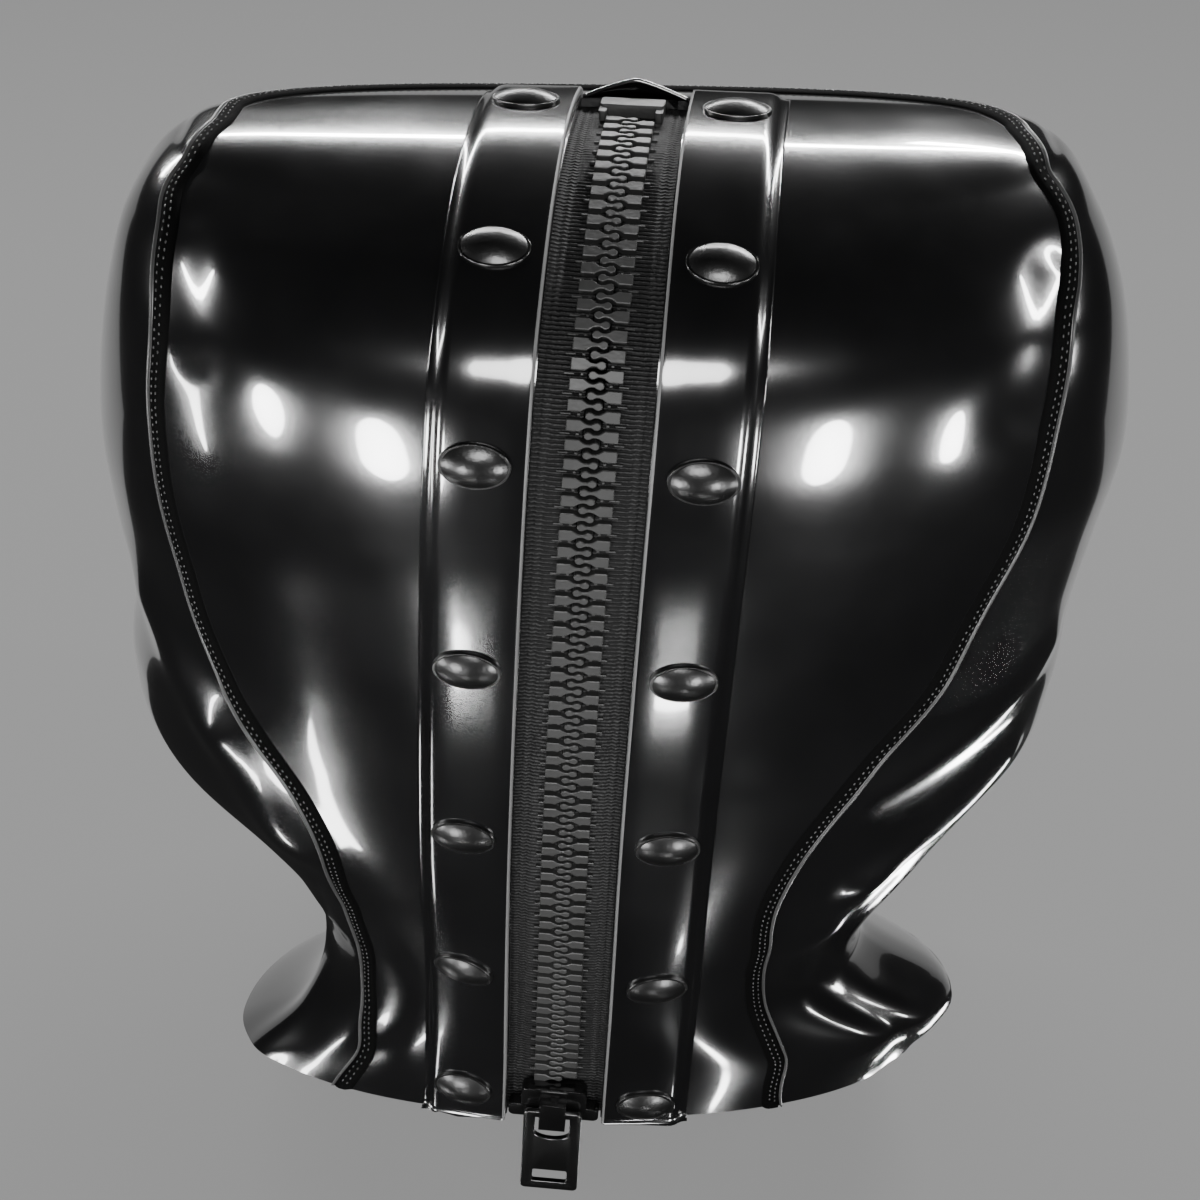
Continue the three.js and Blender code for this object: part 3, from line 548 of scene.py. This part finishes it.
zipDowns = np.linspace(zipLine["ahead"], lastSection + zipLine["beyond"], zipLine["count"])
zipPoints = zipPoint(zipDowns)
zipRuns = np.concatenate([[0], np.cumsum(np.linalg.norm(np.diff(zipPoints, axis=0), axis=1))])
zipRuns -= np.interp(0, zipDowns, zipRuns)
hemRun = np.interp(lastSection, zipDowns, zipRuns)


def alongZip(run):
    return np.stack([np.interp(run, zipRuns, zipPoints[:, k]) for k in range(3)], -1)


# Place, side towards +X, outward normal and downward direction at runs measured from the crown
def zipFrame(run):
    run = np.atleast_1d(np.asarray(run, float))
    point = alongZip(run)
    downward = unit(alongZip(run + zipLine["reach"]) - alongZip(run - zipLine["reach"]))
    normal = unit(np.cross([1.0, 0, 0], downward))
    place = np.interp(run, zipRuns, zipDowns)
    down = np.clip(place, zipLine["levelTo"], lastSection)
    row = section(down)
    across = np.where(point[:, 0] > 0, row[:, 5], row[:, 6])
    around = np.sign(point[:, 0]) * np.arcsin((np.abs(point[:, 0]) / across) ** (row[:, 7] / 2))
    lean = normalOf(foldedPoint, around, down)
    lean = unit(lean - downward * np.sum(lean * downward, 1, keepdims=True))
    share = np.clip((place - zipLine["levelTo"]) / zipLine["blend"], 0, 1)[:, None]
    normal = unit(normal * (1 - share) + lean * share)
    return point, unit(np.cross(downward, normal)), normal, downward


# Skin as a fine mesh, on which pieces are laid
fine = {"around": 480, "down": 440}
finePoints, fineFaces = skinGrid(fine["around"], fine["down"])
fineSkin = BVHTree.FromPolygons([tuple(p) for p in finePoints], fineFaces)


# Nearest skin under points lifted off it along their directions
def onSkin(places, directions, lift=12):
    found, normals = [], []
    for place, direction in zip(places, directions):
        hit, normal, _, _ = fineSkin.ray_cast(Vector(place + direction * lift), Vector(-direction), 3 * lift)
        found.append(place if hit is None else np.array(hit))
        normals.append(direction if hit is None else np.array(normal))
    return np.array(found), unit(np.array(normals))


# Sheet that follows the zip: laterals and heights give its cross-section, both may change down the run
def alongZipSheet(runs, laterals, heights):
    point, side, normal, _ = zipFrame(runs)
    rows = []
    for k in range(laterals.shape[1]):
        places = point + side * laterals[:, k:k + 1]
        found, normals = onSkin(places, normal)
        rows.append(found + normals * heights[:, k:k + 1])
    return np.stack(rows, 1)


def treeOf(points):
    tree = KDTree(len(points))
    for index, point in enumerate(points):
        tree.insert(point, index)
    tree.balance()
    return tree


# Edge of the hem; step in sections, and in millimetres how far off it a row ends and how high it may pass
hem = {"count": 1440, "step": 0.05, "far": 30, "clear": 0.5}
hemTurns = np.linspace(0, 2 * np.pi, hem["count"], endpoint=False)
hemPoints = foldedPoint(hemTurns, np.full(hem["count"], float(lastSection)))
hemUps = unit(foldedPoint(hemTurns, np.full(hem["count"], lastSection - hem["step"])) - hemPoints)
hemTree = treeOf(hemPoints)


# Pulls the rows that pass the hem back onto it, for a grid of rows down and columns across
def trimmedAtHem(points):
    for k in range(points.shape[1]):
        for end in (1, -1):
            line = points[::end, k]
            height = [0.0] * len(line)
            for i in range(len(line) - 1, -1, -1):
                _, index, away = hemTree.find(line[i])
                height[i] = float(np.dot(line[i] - hemPoints[index], hemUps[index]))
                if away > hem["far"] or height[i] > hem["clear"]:
                    break
            if i == len(line) - 1 or height[i] <= 0:
                continue
            while i + 1 < len(line) and height[i + 1] > 0:
                i += 1
            if i + 1 < len(line):
                share = height[i] / (height[i] - height[i + 1])
                line[i + 1:] = line[i] + share * (line[i + 1] - line[i])
    return points


print("skin ready", len(finePoints))

# Line of the seam: points on the curve, and frames at even steps along it
seam = {"points": 4000, "frames": 1400}


def seamCurve(count):
    rows = np.array(seamRows, float) * [0.1, 1]
    rows = np.vstack([2 * rows[0] - rows[1], rows, 2 * rows[-1] - rows[-2]])
    places = np.linspace(0, len(seamRows) - 1, count)
    i = np.minimum(places.astype(int), len(seamRows) - 2)
    f = (places - i)[:, None]
    x0, x1, x2, x3 = (rows[i + k] for k in range(4))
    pairs = ((x0, x1), (x1, x2), (x2, x3))
    d0, d1, d2 = (np.linalg.norm(b - a, axis=1, keepdims=True) ** 0.5 for a, b in pairs)
    t1 = ((x1 - x0) / d0 - (x2 - x0) / (d0 + d1) + (x2 - x1) / d1) * d1
    t2 = ((x2 - x1) / d1 - (x3 - x1) / (d1 + d2) + (x3 - x2) / d2) * d1
    curve = x1 + t1 * f + (-3 * x1 + 3 * x2 - 2 * t1 - t2) * f ** 2 + (2 * x1 - 2 * x2 + t1 + t2) * f ** 3
    return np.radians(curve[:, 0] * 10), curve[:, 1]


def seamFrames(count):
    around, down = seamCurve(seam["points"])
    points = foldedPoint(around, down)
    runs = np.concatenate([[0], np.cumsum(np.linalg.norm(np.diff(points, axis=0), axis=1))])
    even = np.linspace(0, runs[-1], count)
    around, down = np.interp(even, runs, around), np.interp(even, runs, down)
    points = foldedPoint(around, down)
    normal = normalOf(foldedPoint, around, down)
    along = unit(np.gradient(points, axis=0))
    side = unit(np.cross(along, normal))
    if side[count // 2, 1] < 0:
        side = -side
    return even, points, side, unit(normal), along


seamRuns, seamPoints, seamSides, seamNormals, seamAlongs = seamFrames(seam["frames"])
seamTree = treeOf(seamPoints)


# Panels; the slot's line runs from slotFrom to slotBeyond past the hem
panel = {"around": 260, "down": 230, "seamGap": 0.4, "slotHalf": 9, "slotTopReach": 9, "slotFrom": -40,
         "slotBeyond": 12, "slotStep": 0.5, "collarBack": -30, "collarTop": -140, "sharp": 50}


# Distance from the seam, above nought on the back panel's side; the front of the collar is all face panel
def seamDistance(points):
    values = []
    for point in points:
        _, index, _ = seamTree.find(point)
        value = float(np.dot(point - seamPoints[index], seamSides[index]))
        inFront = point[1] < panel["collarBack"] and point[2] < panel["collarTop"]
        values.append(-abs(value) - 1 if inFront else value)
    return np.array(values)


def slotDistance(points):
    runs = np.arange(panel["slotFrom"], hemRun + panel["slotBeyond"], panel["slotStep"])
    line, side, _, _ = zipFrame(runs)
    tree = treeOf(line)
    values = []
    for point in points:
        _, index, _ = tree.find(point)
        lateral = abs(float(np.dot(point - line[index], side[index])))
        values.append(max(lateral - panel["slotHalf"], -panel["slotTopReach"] - runs[index]))
    return np.array(values)


def makePanels():
    points, faces = skinGrid(panel["around"], panel["down"])
    distance = seamDistance(points)
    half = panel["seamGap"] / 2
    facePoints, faceFaces = clipped(points, faces, -distance - half)
    backPoints, backFaces = clipped(points, faces, distance - half)
    backPoints, backFaces = clipped(backPoints, backFaces, slotDistance(backPoints))
    for name, sheet, node in (("facePanel", (facePoints, faceFaces), "face_panel"),
                              ("backPanel", (backPoints, backFaces), "back_panel")):
        piece = newPiece(name, *walled(*sheet, hood["wall"]), finish["latex"])
        settle(smoothed(piece, panel["sharp"]), "hood", "latex", node)


makePanels()
print("panels made")

# Plackets with their pale inner edges
placket = {"step": 1.0, "topReach": 13, "beyondHem": 6, "inner": 9.2, "outer": 24.4, "height": 1.42,
           "edgeWidth": 0.45, "riseOver": 1.6, "riseFrom": 0.05}


def makePlacket(hand, name, node):
    inner, top, outer = placket["inner"], placket["height"], placket["outer"]
    pale = [(inner, 0.5), (inner, top - 0.3), (inner + 0.14, top - 0.06), (inner + placket["edgeWidth"], top)]
    level = [(inner + 0.9, top + 0.05), (inner + 4, top), (inner + 9, top), (outer - 2.6, top)]
    slope = [(outer - 1.9, top - 0.1), (outer - 1.2, top - 0.35), (outer - 0.6, 0.62), (outer, 0.25),
             (outer + 0.6, 0.06), (outer + 1.2, -0.05)]
    profile = np.array([(inner, -0.6), *pale, *level, *slope, (outer + 0.6, -0.3), (inner + 6, -0.3)])
    runs = np.arange(-placket["topReach"], hemRun + placket["beyondHem"], placket["step"])
    laterals = np.repeat(profile[None, :, 0] * hand, len(runs), 0)
    heights = np.repeat(profile[None, :, 1], len(runs), 0)
    rise = np.clip((runs + placket["topReach"]) / placket["riseOver"], placket["riseFrom"], 1) ** 0.5
    heights = np.where(heights > 0, heights * rise[:, None], heights)
    piece = sweptPiece(name, trimmedAtHem(alongZipSheet(runs, laterals, heights)), finish["placket"])
    addFinish(piece, finish["edge"], len(profile), 1, len(pale))
    settle(piece, "hood", "latex_trim", node)


makePlacket(1, "placketLeft", "placket_left")
makePlacket(-1, "placketRight", "placket_right")
print("plackets made")

# Seam strip with its raised edge, and its stitches, which keep stitchFrom clear of the hem
strip = {"width": 3.8, "bead": 0.2, "beadSteps": 4, "height": 0.72, "lift": 6, "stitchPitch": 1.35,
         "rows": (1.55, 2.55), "stitchLength": 0.62, "stitchWidth": 0.3, "stitchLift": 0.04, "stitchFrom": 7,
         "stagger": 0.6}


def makeStrip():
    bead, top, width = strip["bead"], strip["height"], strip["width"]
    profile = [(0.02, -0.3), (0.02, 0.55)]
    for k in range(strip["beadSteps"] + 1):
        angle = math.pi * (1 - k / strip["beadSteps"])
        profile.append((bead + 0.05 + bead * math.cos(angle), 0.62 + bead * math.sin(angle)))
    profile.append((2 * bead + 0.1, 0.3))
    beadEnd = len(profile) - 1
    profile += [(2 * bead + 0.35, 0.3), (2 * bead + 0.6, top), (width * 0.5, top + 0.02),
                (width - 0.9, top - 0.05), (width - 0.4, top - 0.25), (width, 0.1), (width + 0.2, -0.3)]
    profile = np.array(profile)
    rows = []
    for across, up in profile:
        found, normals = onSkin(seamPoints + seamSides * across, seamNormals, strip["lift"])
        rows.append(found + normals * up)
    piece = sweptPiece("seamStrip", trimmedAtHem(np.stack(rows, 1)), finish["strip"])
    addFinish(piece, finish["bead"], len(profile), 0, beadEnd)
    settle(piece, "hood", "seam_strip", "seam_strip")


def makeStitches():
    bpy.ops.mesh.primitive_ico_sphere_add(subdivisions=1, radius=1)
    seed = bpy.context.object
    shape = np.array([v.co for v in seed.data.vertices]) * [
        strip["stitchLength"] / 2, strip["stitchWidth"] / 2, strip["stitchWidth"] / 2]
    shapeFaces = [tuple(p.vertices) for p in seed.data.polygons]
    bpy.data.objects.remove(seed)
    points, faces = [], []
    for row, across in enumerate(strip["rows"]):
        first, last = strip["stitchFrom"] + row * strip["stagger"], seamRuns[-1] - strip["stitchFrom"]
        picks = np.searchsorted(seamRuns, np.arange(first, last, strip["stitchPitch"]))
        under = seamPoints[picks] + seamSides[picks] * across
        found, normals = onSkin(under, seamNormals[picks], strip["lift"])
        for place, normal, along in zip(found, normals, seamAlongs[picks]):
            side = unit(np.cross(normal, along))
            start = len(points)
            centre = place + normal * (strip["height"] + strip["stitchLift"])
            points.extend(centre + v[0] * along + v[1] * side + v[2] * normal for v in shape)
            faces.extend(tuple(i + start for i in face) for face in shapeFaces)
    piece = newPiece("seamStitches", points, faces, finish["stitch"])
    settle(piece, "hood", "seam_strip")


makeStrip()
makeStitches()
print("seam made")

# Zip tapes: ribs run straight by the teeth, then slant one way and the other, with grooves between
tape = {"step": 0.16, "top": -1.75, "thickness": 0.8, "ribPitch": 0.8, "ribRise": 0.16, "grooveDrop": 0.12,
        "slotTopReach": 12, "beyondHem": 2, "slant": 0.8, "firstSlant": 6.8, "secondSlant": 8,
        "inner": 1.4, "outer": 12.5, "grooves": (6.7, 6.9, 7.9, 8.1),
        "columns": (1.6, 4.35, 5.2, 6.2, 6.7, 6.9, 7.4, 7.9, 8.1, 8.6, 9.1, 9.3)}


def makeTape(hand, name, node):
    inner, outer = tape["inner"], tape["outer"]
    runs = np.arange(-tape["slotTopReach"], hemRun + tape["beyondHem"], tape["step"])
    columns = np.array([inner, *tape["columns"], outer, outer, inner])
    laterals = np.repeat(columns[None, :] * hand, len(runs), 0)
    slant = np.where(columns > tape["secondSlant"], 1, np.where(columns > tape["firstSlant"], -1, 0))
    phase = runs[:, None] / tape["ribPitch"] + slant * columns * tape["slant"]
    ribs = tape["ribRise"] * (0.5 + 0.5 * np.cos(2 * np.pi * phase))
    grooves = np.isin(columns, (inner, *tape["grooves"], outer))
    heights = tape["top"] + np.where(grooves[None, :], -tape["grooveDrop"], ribs)
    heights[:, -2:] = tape["top"] - tape["thickness"]
    cloth = np.stack(np.broadcast_arrays(runs[:, None], columns[None, :]), -1).reshape(-1, 2)
    points = trimmedAtHem(alongZipSheet(runs, laterals, heights))
    settle(sweptPiece(name, points, finish["tape"], cloth), "hood", "zip_tape", node)


makeTape(1, "zipTapeLeft", "zip_tape_left")
makeTape(-1, "zipTapeRight", "zip_tape_right")
print("tapes made")

# Zip teeth
teeth = {"pitch": 3.2, "top": -0.55, "low": -3.4, "outer": 4.05, "blockHalf": 0.95, "bevel": 0.13,
         "headRadius": 0.66, "headCentre": -0.62, "stopFromTop": 2.6, "stopLength": 3.4, "fromStop": 1.2,
         "fromSlider": 0.6, "sliderFromHem": 5.5, "sliderLength": 8, "firstOffset": 1.2, "lastOffset": 0.2}
stopRun = -panel["slotTopReach"] + teeth["stopFromTop"]
teethStart = stopRun + teeth["stopLength"] + teeth["fromStop"]
teethEnd = hemRun - teeth["sliderFromHem"] - teeth["sliderLength"] / 2 - teeth["fromSlider"]


# Flat outline given a thickness and a small bevel round its top, as an unlinked set of points and faces
def plateShape(outline, low, high, bevel):
    bpy.ops.mesh.primitive_circle_add(vertices=len(outline), fill_type="NGON")
    piece = bpy.context.object
    for vertex, (x, y) in zip(piece.data.vertices, outline):
        vertex.co = (x, y, high)
    applied(piece, "SOLIDIFY", thickness=high - low, offset=-1 if piece.data.polygons[0].normal.z > 0 else 1)
    applied(piece, "BEVEL", width=bevel, segments=1, limit_method="ANGLE", angle_limit=math.radians(60))
    outward(piece)
    points = np.array([v.co for v in piece.data.vertices])
    faces = [tuple(p.vertices) for p in piece.data.polygons]
    bpy.data.objects.remove(piece)
    return points, faces


def toothShape():
    half = teeth["blockHalf"]
    upper = [(teeth["outer"], half), (1.95, half), (1.15, 0.42), (0.75, 0.3), (0.25, 0.28), (-0.05, 0.42)]
    radius, centre = teeth["headRadius"], teeth["headCentre"]
    head = [(centre + radius * math.cos(a), radius * math.sin(a)) for a in (1.1, 1.75, 2.45)]
    head.append((centre - radius, 0))
    lower = [(x, -y) for x, y in reversed(upper + head[:-1])]
    return plateShape(upper + head + lower, teeth["low"], teeth["top"], teeth["bevel"])


# Bar on the tape and dot by the chain, between one tooth and the next
def nubShape():
    bar = [(5.0, 0.14), (3.4, 0.14), (3.4, -0.14), (5.0, -0.14)]
    dot = [(2.5, 0.2), (2.0, 0.2), (2.0, -0.2), (2.5, -0.2)]
    shapes = [plateShape(bar, -1.9, -1.3, 0.08), plateShape(dot, -2.6, -1.2, 0.08)]
    points = np.vstack([shapes[0][0], shapes[1][0]])
    return points, shapes[0][1] + [tuple(i + len(shapes[0][0]) for i in face) for face in shapes[1][1]]


def makeTeeth(hand, name, node):
    first, last = teethStart + teeth["firstOffset"], teethEnd - teeth["lastOffset"]
    count = round((last - first) / teeth["pitch"])
    pitch = (last - first) / count
    starts = first + (np.arange(count + 1) if hand > 0 else np.arange(count) + 0.5) * pitch
    points, faces = [], []
    for shape, shapeFaces, offset in ((*toothShape(), 0), (*nubShape(), -pitch / 2)):
        for place, side, normal, downward in zip(*zipFrame(starts + offset)):
            start = len(points)
            points.extend(place + side * hand * v[0] + downward * v[1] + normal * v[2] for v in shape)
            faces.extend(tuple(i + start for i in face) for face in shapeFaces)
    piece = outward(newPiece(name, points, faces, finish["plastic"], smooth=False))
    settle(piece, "hood", "zip_plastic", node)


makeTeeth(1, "zipTeethLeft", "zip_teeth_left")
makeTeeth(-1, "zipTeethRight", "zip_teeth_right")
print("teeth made")

# Snap caps; places are shares of the way from the first cap to the hem, wide and tall stretch the disc
cap = {"radius": 5, "domeRadius": 4.55, "rim": 0.5, "dome": 1.25, "skirt": 0.35, "segments": 40, "rings": 44,
       "step": 0.1, "edgeIn": 0.02, "edgeDown": 0.12, "side": 0.33, "wide": 1.12, "tall": 0.76,
       "offset": 17.2, "topShift": -1.5, "lift": 0.15, "seatReach": 3.5,
       "places": (0, 0.165, 0.31, 0.48, 0.65, 0.815, 0.975)}


def capShape():
    ball = (cap["domeRadius"] ** 2 + cap["dome"] ** 2) / (2 * cap["dome"])
    centre = cap["rim"] + cap["dome"] - ball
    bpy.ops.mesh.primitive_uv_sphere_add(segments=cap["segments"], ring_count=cap["rings"], radius=ball,
                                         location=(0, 0, 0))
    piece = bpy.context.object
    bpy.ops.object.mode_set(mode="EDIT")
    bpy.ops.mesh.select_all(action="SELECT")
    bpy.ops.mesh.bisect(plane_co=(0, 0, cap["rim"] - centre), plane_no=(0, 0, 1), clear_inner=True)
    bpy.ops.mesh.extrude_edges_move(TRANSFORM_OT_translate={"value": (0, 0, -cap["step"])})
    wide = cap["radius"] / cap["domeRadius"]
    top = wide - cap["edgeIn"]
    bpy.ops.mesh.extrude_edges_move()
    bpy.ops.transform.resize(value=(top, top, 1))
    bpy.ops.mesh.extrude_edges_move(TRANSFORM_OT_translate={"value": (0, 0, -cap["edgeDown"])})
    bpy.ops.transform.resize(value=(wide / top, wide / top, 1))
    bpy.ops.mesh.extrude_edges_move(TRANSFORM_OT_translate={"value": (0, 0, -cap["side"] - cap["skirt"])})
    bpy.ops.mesh.edge_face_add()
    bpy.ops.object.mode_set(mode="OBJECT")
    outward(piece)
    points = np.array([v.co for v in piece.data.vertices]) + [0, 0, centre]
    faces = [tuple(p.vertices) for p in piece.data.polygons]
    bpy.data.objects.remove(piece)
    return points, faces


# Underside's middle on the placket, its axis and its long side, for a run down the zip
def capSeat(run, hand):
    point, side, normal, downward = (row[0] for row in zipFrame(run))
    reach = cap["seatReach"]
    ring = [(0, 0), (reach, 0), (-reach, 0), (0, reach), (0, -reach)]
    places = np.array([point + side * (hand * cap["offset"] + a) + downward * b for a, b in ring])
    found, normals = onSkin(places, np.repeat(normal[None, :], len(ring), 0))
    axis = unit(normals.mean(0))
    across = unit(side - axis * np.dot(side, axis))
    return found[0] + axis * (placket["height"] + cap["lift"]), axis, across


def makeCaps():
    shape, shapeFaces = capShape()
    for sideName, hand in (("left", 1), ("right", -1)):
        for number, share in enumerate(cap["places"], 1):
            run = cap["topShift"] + share * (hemRun - cap["topShift"])
            seat, axis, across = capSeat(run, hand)
            along = np.cross(axis, across)
            points = [seat + across * v[0] * cap["wide"] + along * v[1] * cap["tall"] + axis * v[2]
                      for v in shape]
            piece = newPiece(f"cap{sideName.title()}{number}", points, shapeFaces, finish["cap"])
            settle(smoothed(piece), "hood", "snap_cap", f"snap_cap_{sideName}_{number}")


makeCaps()
print("caps made")

# Block between two corners, with its upright edges rounded
def block(low, high, corner=0.0):
    middle = [(a + b) / 2 for a, b in zip(low, high)]
    bpy.ops.mesh.primitive_cube_add(size=1, location=(0, 0, 0))
    piece = bpy.context.object
    for vertex in piece.data.vertices:
        vertex.co = [m + v * (b - a) for m, v, a, b in zip(middle, vertex.co, low, high)]
    if corner:
        weights = piece.data.attributes.new("bevel_weight_edge", "FLOAT", "EDGE")
        for edge in piece.data.edges:
            a, b = (piece.data.vertices[v].co for v in edge.vertices)
            weights.data[edge.index].value = float(abs(a.z - b.z) > 0.01 * abs(high[2] - low[2]) + 1e-6)
        applied(piece, "BEVEL", width=corner, segments=5, limit_method="WEIGHT")
    return piece


def combined(piece, other, operation):
    applied(piece, "BOOLEAN", object=other, operation=operation, solver="EXACT")
    bpy.data.objects.remove(other)
    return piece


# Rounds a finished block, moves it to its frame and gives it its name and finish
def fitted(piece, name, material, bevel, origin, across, upward, outwards):
    applied(piece, "BEVEL", width=bevel, segments=3, limit_method="ANGLE", angle_limit=math.radians(40))
    points = [origin + across * v.co[0] + upward * v.co[1] + outwards * v.co[2] for v in piece.data.vertices]
    faces = [tuple(p.vertices) for p in piece.data.polygons]
    bpy.data.objects.remove(piece)
    return smoothed(outward(newPiece(name, points, faces, material)))


# Slider: an upper and a lower plate, joined by a post, with wings at the foot and a bridge on top
slider = {"half": 6.2, "span": 4, "corner": 1.4, "plateLow": -1.1, "plateHigh": 1.7, "lowerHigh": -3.3,
          "lowerLow": -4.5, "postHalf": 0.9, "postFoot": -1.5, "bridgeHalf": 2.5, "bridgeInner": 3.8,
          "bridgeOuter": 5, "bridgeReach": 3.5, "bar": 1.2, "barDown": 1.25, "barClear": 0.45,
          "wingHalf": 8.6, "wingTop": -1.2, "wingIn": 1.5, "wingFoot": 0.3, "wingDrop": 0.5,
          "wingCorner": 1.1, "postBack": 0.4, "holeHalf": 4, "holeSink": 1, "overlap": 0.4, "bevel": 0.22}


def makeSlider():
    half, span, reach, sink = slider["half"], slider["span"], slider["bridgeReach"], slider["overlap"]
    low, high, corner = slider["plateLow"], slider["plateHigh"], slider["corner"]
    body = block((-half, -span, low), (half, span, high), corner)
    for hand in (-1, 1):
        ends = sorted((hand * (half - slider["wingIn"]), hand * slider["wingHalf"]))
        foot = (ends[0], -span - slider["wingFoot"], low)
        head = (ends[1], slider["wingTop"], high - slider["wingDrop"])
        combined(body, block(foot, head, slider["wingCorner"]), "UNION")
    lower = block((-half, -span, slider["lowerLow"]), (half, span, slider["lowerHigh"]), corner)
    combined(body, lower, "UNION")
    post = block((-slider["postHalf"], slider["postFoot"], slider["lowerHigh"] - sink),
                 (slider["postHalf"], span - slider["postBack"], low + sink))
    combined(body, post, "UNION")
    bridge = block((-slider["bridgeHalf"], -reach, high - sink),
                   (slider["bridgeHalf"], reach, slider["bridgeOuter"]))
    hole = block((-slider["holeHalf"], -reach + slider["bar"], high - slider["holeSink"]),
                 (slider["holeHalf"], reach - slider["bar"], slider["bridgeInner"]))
    combined(body, combined(bridge, hole, "DIFFERENCE"), "UNION")
    point, side, normal, downward = (row[0] for row in zipFrame(hemRun - teeth["sliderFromHem"]))
    piece = fitted(body, "zipSlider", finish["metal"], slider["bevel"], point, side, -downward, normal)
    settle(piece, "hood", "zip_metal", "zip_slider")
    rise = high + slider["barClear"] + puller["thickness"] / 2
    return point + downward * slider["barDown"] + normal * rise, side


# Puller: a plate with a window, rounded at its foot, that goes over the bridge, and a slot near its end
puller = {"half": 5.5, "length": 20, "thickness": 1.2, "topBar": 1.2, "windowHalf": 3.3, "windowHeight": 5.2,
          "windowFoot": 1.2, "footDepth": 1.6, "slotHeight": 3.1, "slotCorner": 0.4, "endBar": 1.9,
          "corner": 0.9, "bevel": 0.2, "cut": 3}


def makePuller(bar, axis):
    top, thick, cut = puller["topBar"] / 2, puller["thickness"] / 2, puller["cut"]
    half, low = puller["windowHalf"], top - puller["length"]
    foot = -top - puller["windowHeight"] + puller["windowFoot"]
    plate = block((-puller["half"], low, -thick), (puller["half"], top, thick), puller["corner"])
    bpy.ops.mesh.primitive_cylinder_add(vertices=40, radius=1, depth=2 * cut)
    curve = bpy.context.object
    for vertex in curve.data.vertices:
        vertex.co = (vertex.co.x * half, vertex.co.y * puller["footDepth"] + foot, vertex.co.z)
    window = combined(block((-half, foot, -cut), (half, -top, cut)), curve, "UNION")
    combined(plate, window, "DIFFERENCE")
    slotLow = low + puller["endBar"]
    slotHigh = slotLow + puller["slotHeight"]
    slot = block((-half, slotLow, -cut), (half, slotHigh, cut), puller["slotCorner"])
    combined(plate, slot, "DIFFERENCE")
    upward = unit(np.array([0.0, 0, 1]) - axis * axis[2])
    outwards = np.cross(axis, upward)
    piece = fitted(plate, "zipPuller", finish["metal"], puller["bevel"], bar, axis, upward, outwards)
    settle(piece, "puller", "zip_metal", "zip_puller")


# Top stop: a bar across the teeth, with a leg down each side
stop = {"half": 5.2, "corner": 0.5, "leg": 1.2, "legDown": 2.2, "legDrop": 0.5, "legCorner": 0.4,
        "bevel": 0.35}


def makeStop():
    run = stopRun + teeth["stopLength"] / 2
    point, side, normal, downward = (row[0] for row in zipFrame(run))
    corners = np.array([v.co for v in nodes["zip_top_stop"].data.vertices]) / mm - point
    low, high = (corners @ normal).min(), (corners @ normal).max()
    reach = teeth["stopLength"] / 2
    bar = block((-stop["half"], -reach, low), (stop["half"], reach, high), stop["corner"])
    for hand in (-1, 1):
        ends = sorted((hand * stop["half"], hand * (stop["half"] - stop["leg"])))
        leg = block((ends[0], -reach - stop["legDown"], low), (ends[1], 0, high - stop["legDrop"]),
                    stop["legCorner"])
        combined(bar, leg, "UNION")
    piece = fitted(bar, "zipTopStop", finish["plastic"], stop["bevel"], point, side, -downward, normal)
    settle(piece, "hood", "zip_plastic", "zip_top_stop")


# Latex lip that stands up over the top of the slot, highest in the middle
lip = {"half": 8.8, "back": -11.4, "front": -8.6, "base": 0.25, "rise": 3.1, "power": 1.3, "lift": 0.2,
       "thickness": 0.7, "columns": 33}


def makeLip():
    back, front, thick = lip["back"], lip["front"], lip["thickness"]
    laterals = np.linspace(-lip["half"], lip["half"], lip["columns"])
    arch = lip["base"] + lip["rise"] * (1 - np.abs(laterals / lip["half"]) ** lip["power"])
    outline = [(back, 0.1, 0), (back + 0.9, 0.62, 0), (front - 0.3, 1, 0), (front, 1, 0.25),
               (front, 1, thick), (back + 1.2, 0.5, thick), (back, 0, 0.5)]  # run, share of arch, drop
    rows = []
    for run, share, drop in outline:
        heights = (lip["lift"] + arch * share - drop)[None, :]
        rows.append(alongZipSheet(np.array([run]), laterals[None, :], heights)[0])
    settle(sweptPiece("slotLip", np.stack(rows, 1), finish["placket"]), "hood", "latex_trim")


barPoint, barAxis = makeSlider()
makePuller(barPoint, barAxis)
makeStop()
makeLip()
print("zip ends made")

addCamera()
for name, values in lights.items():
    addLight(name, *values)
addFloor()
studio = {"grey": 0.3, "strength": 0.06}
world = bpy.data.worlds.new("studio")
world.use_nodes = True
background = world.node_tree.nodes["Background"]
background.inputs["Color"].default_value = (studio["grey"], studio["grey"], studio["grey"], 1)
background.inputs["Strength"].default_value = studio["strength"]
bpy.context.scene.world = world
print("studio ready")
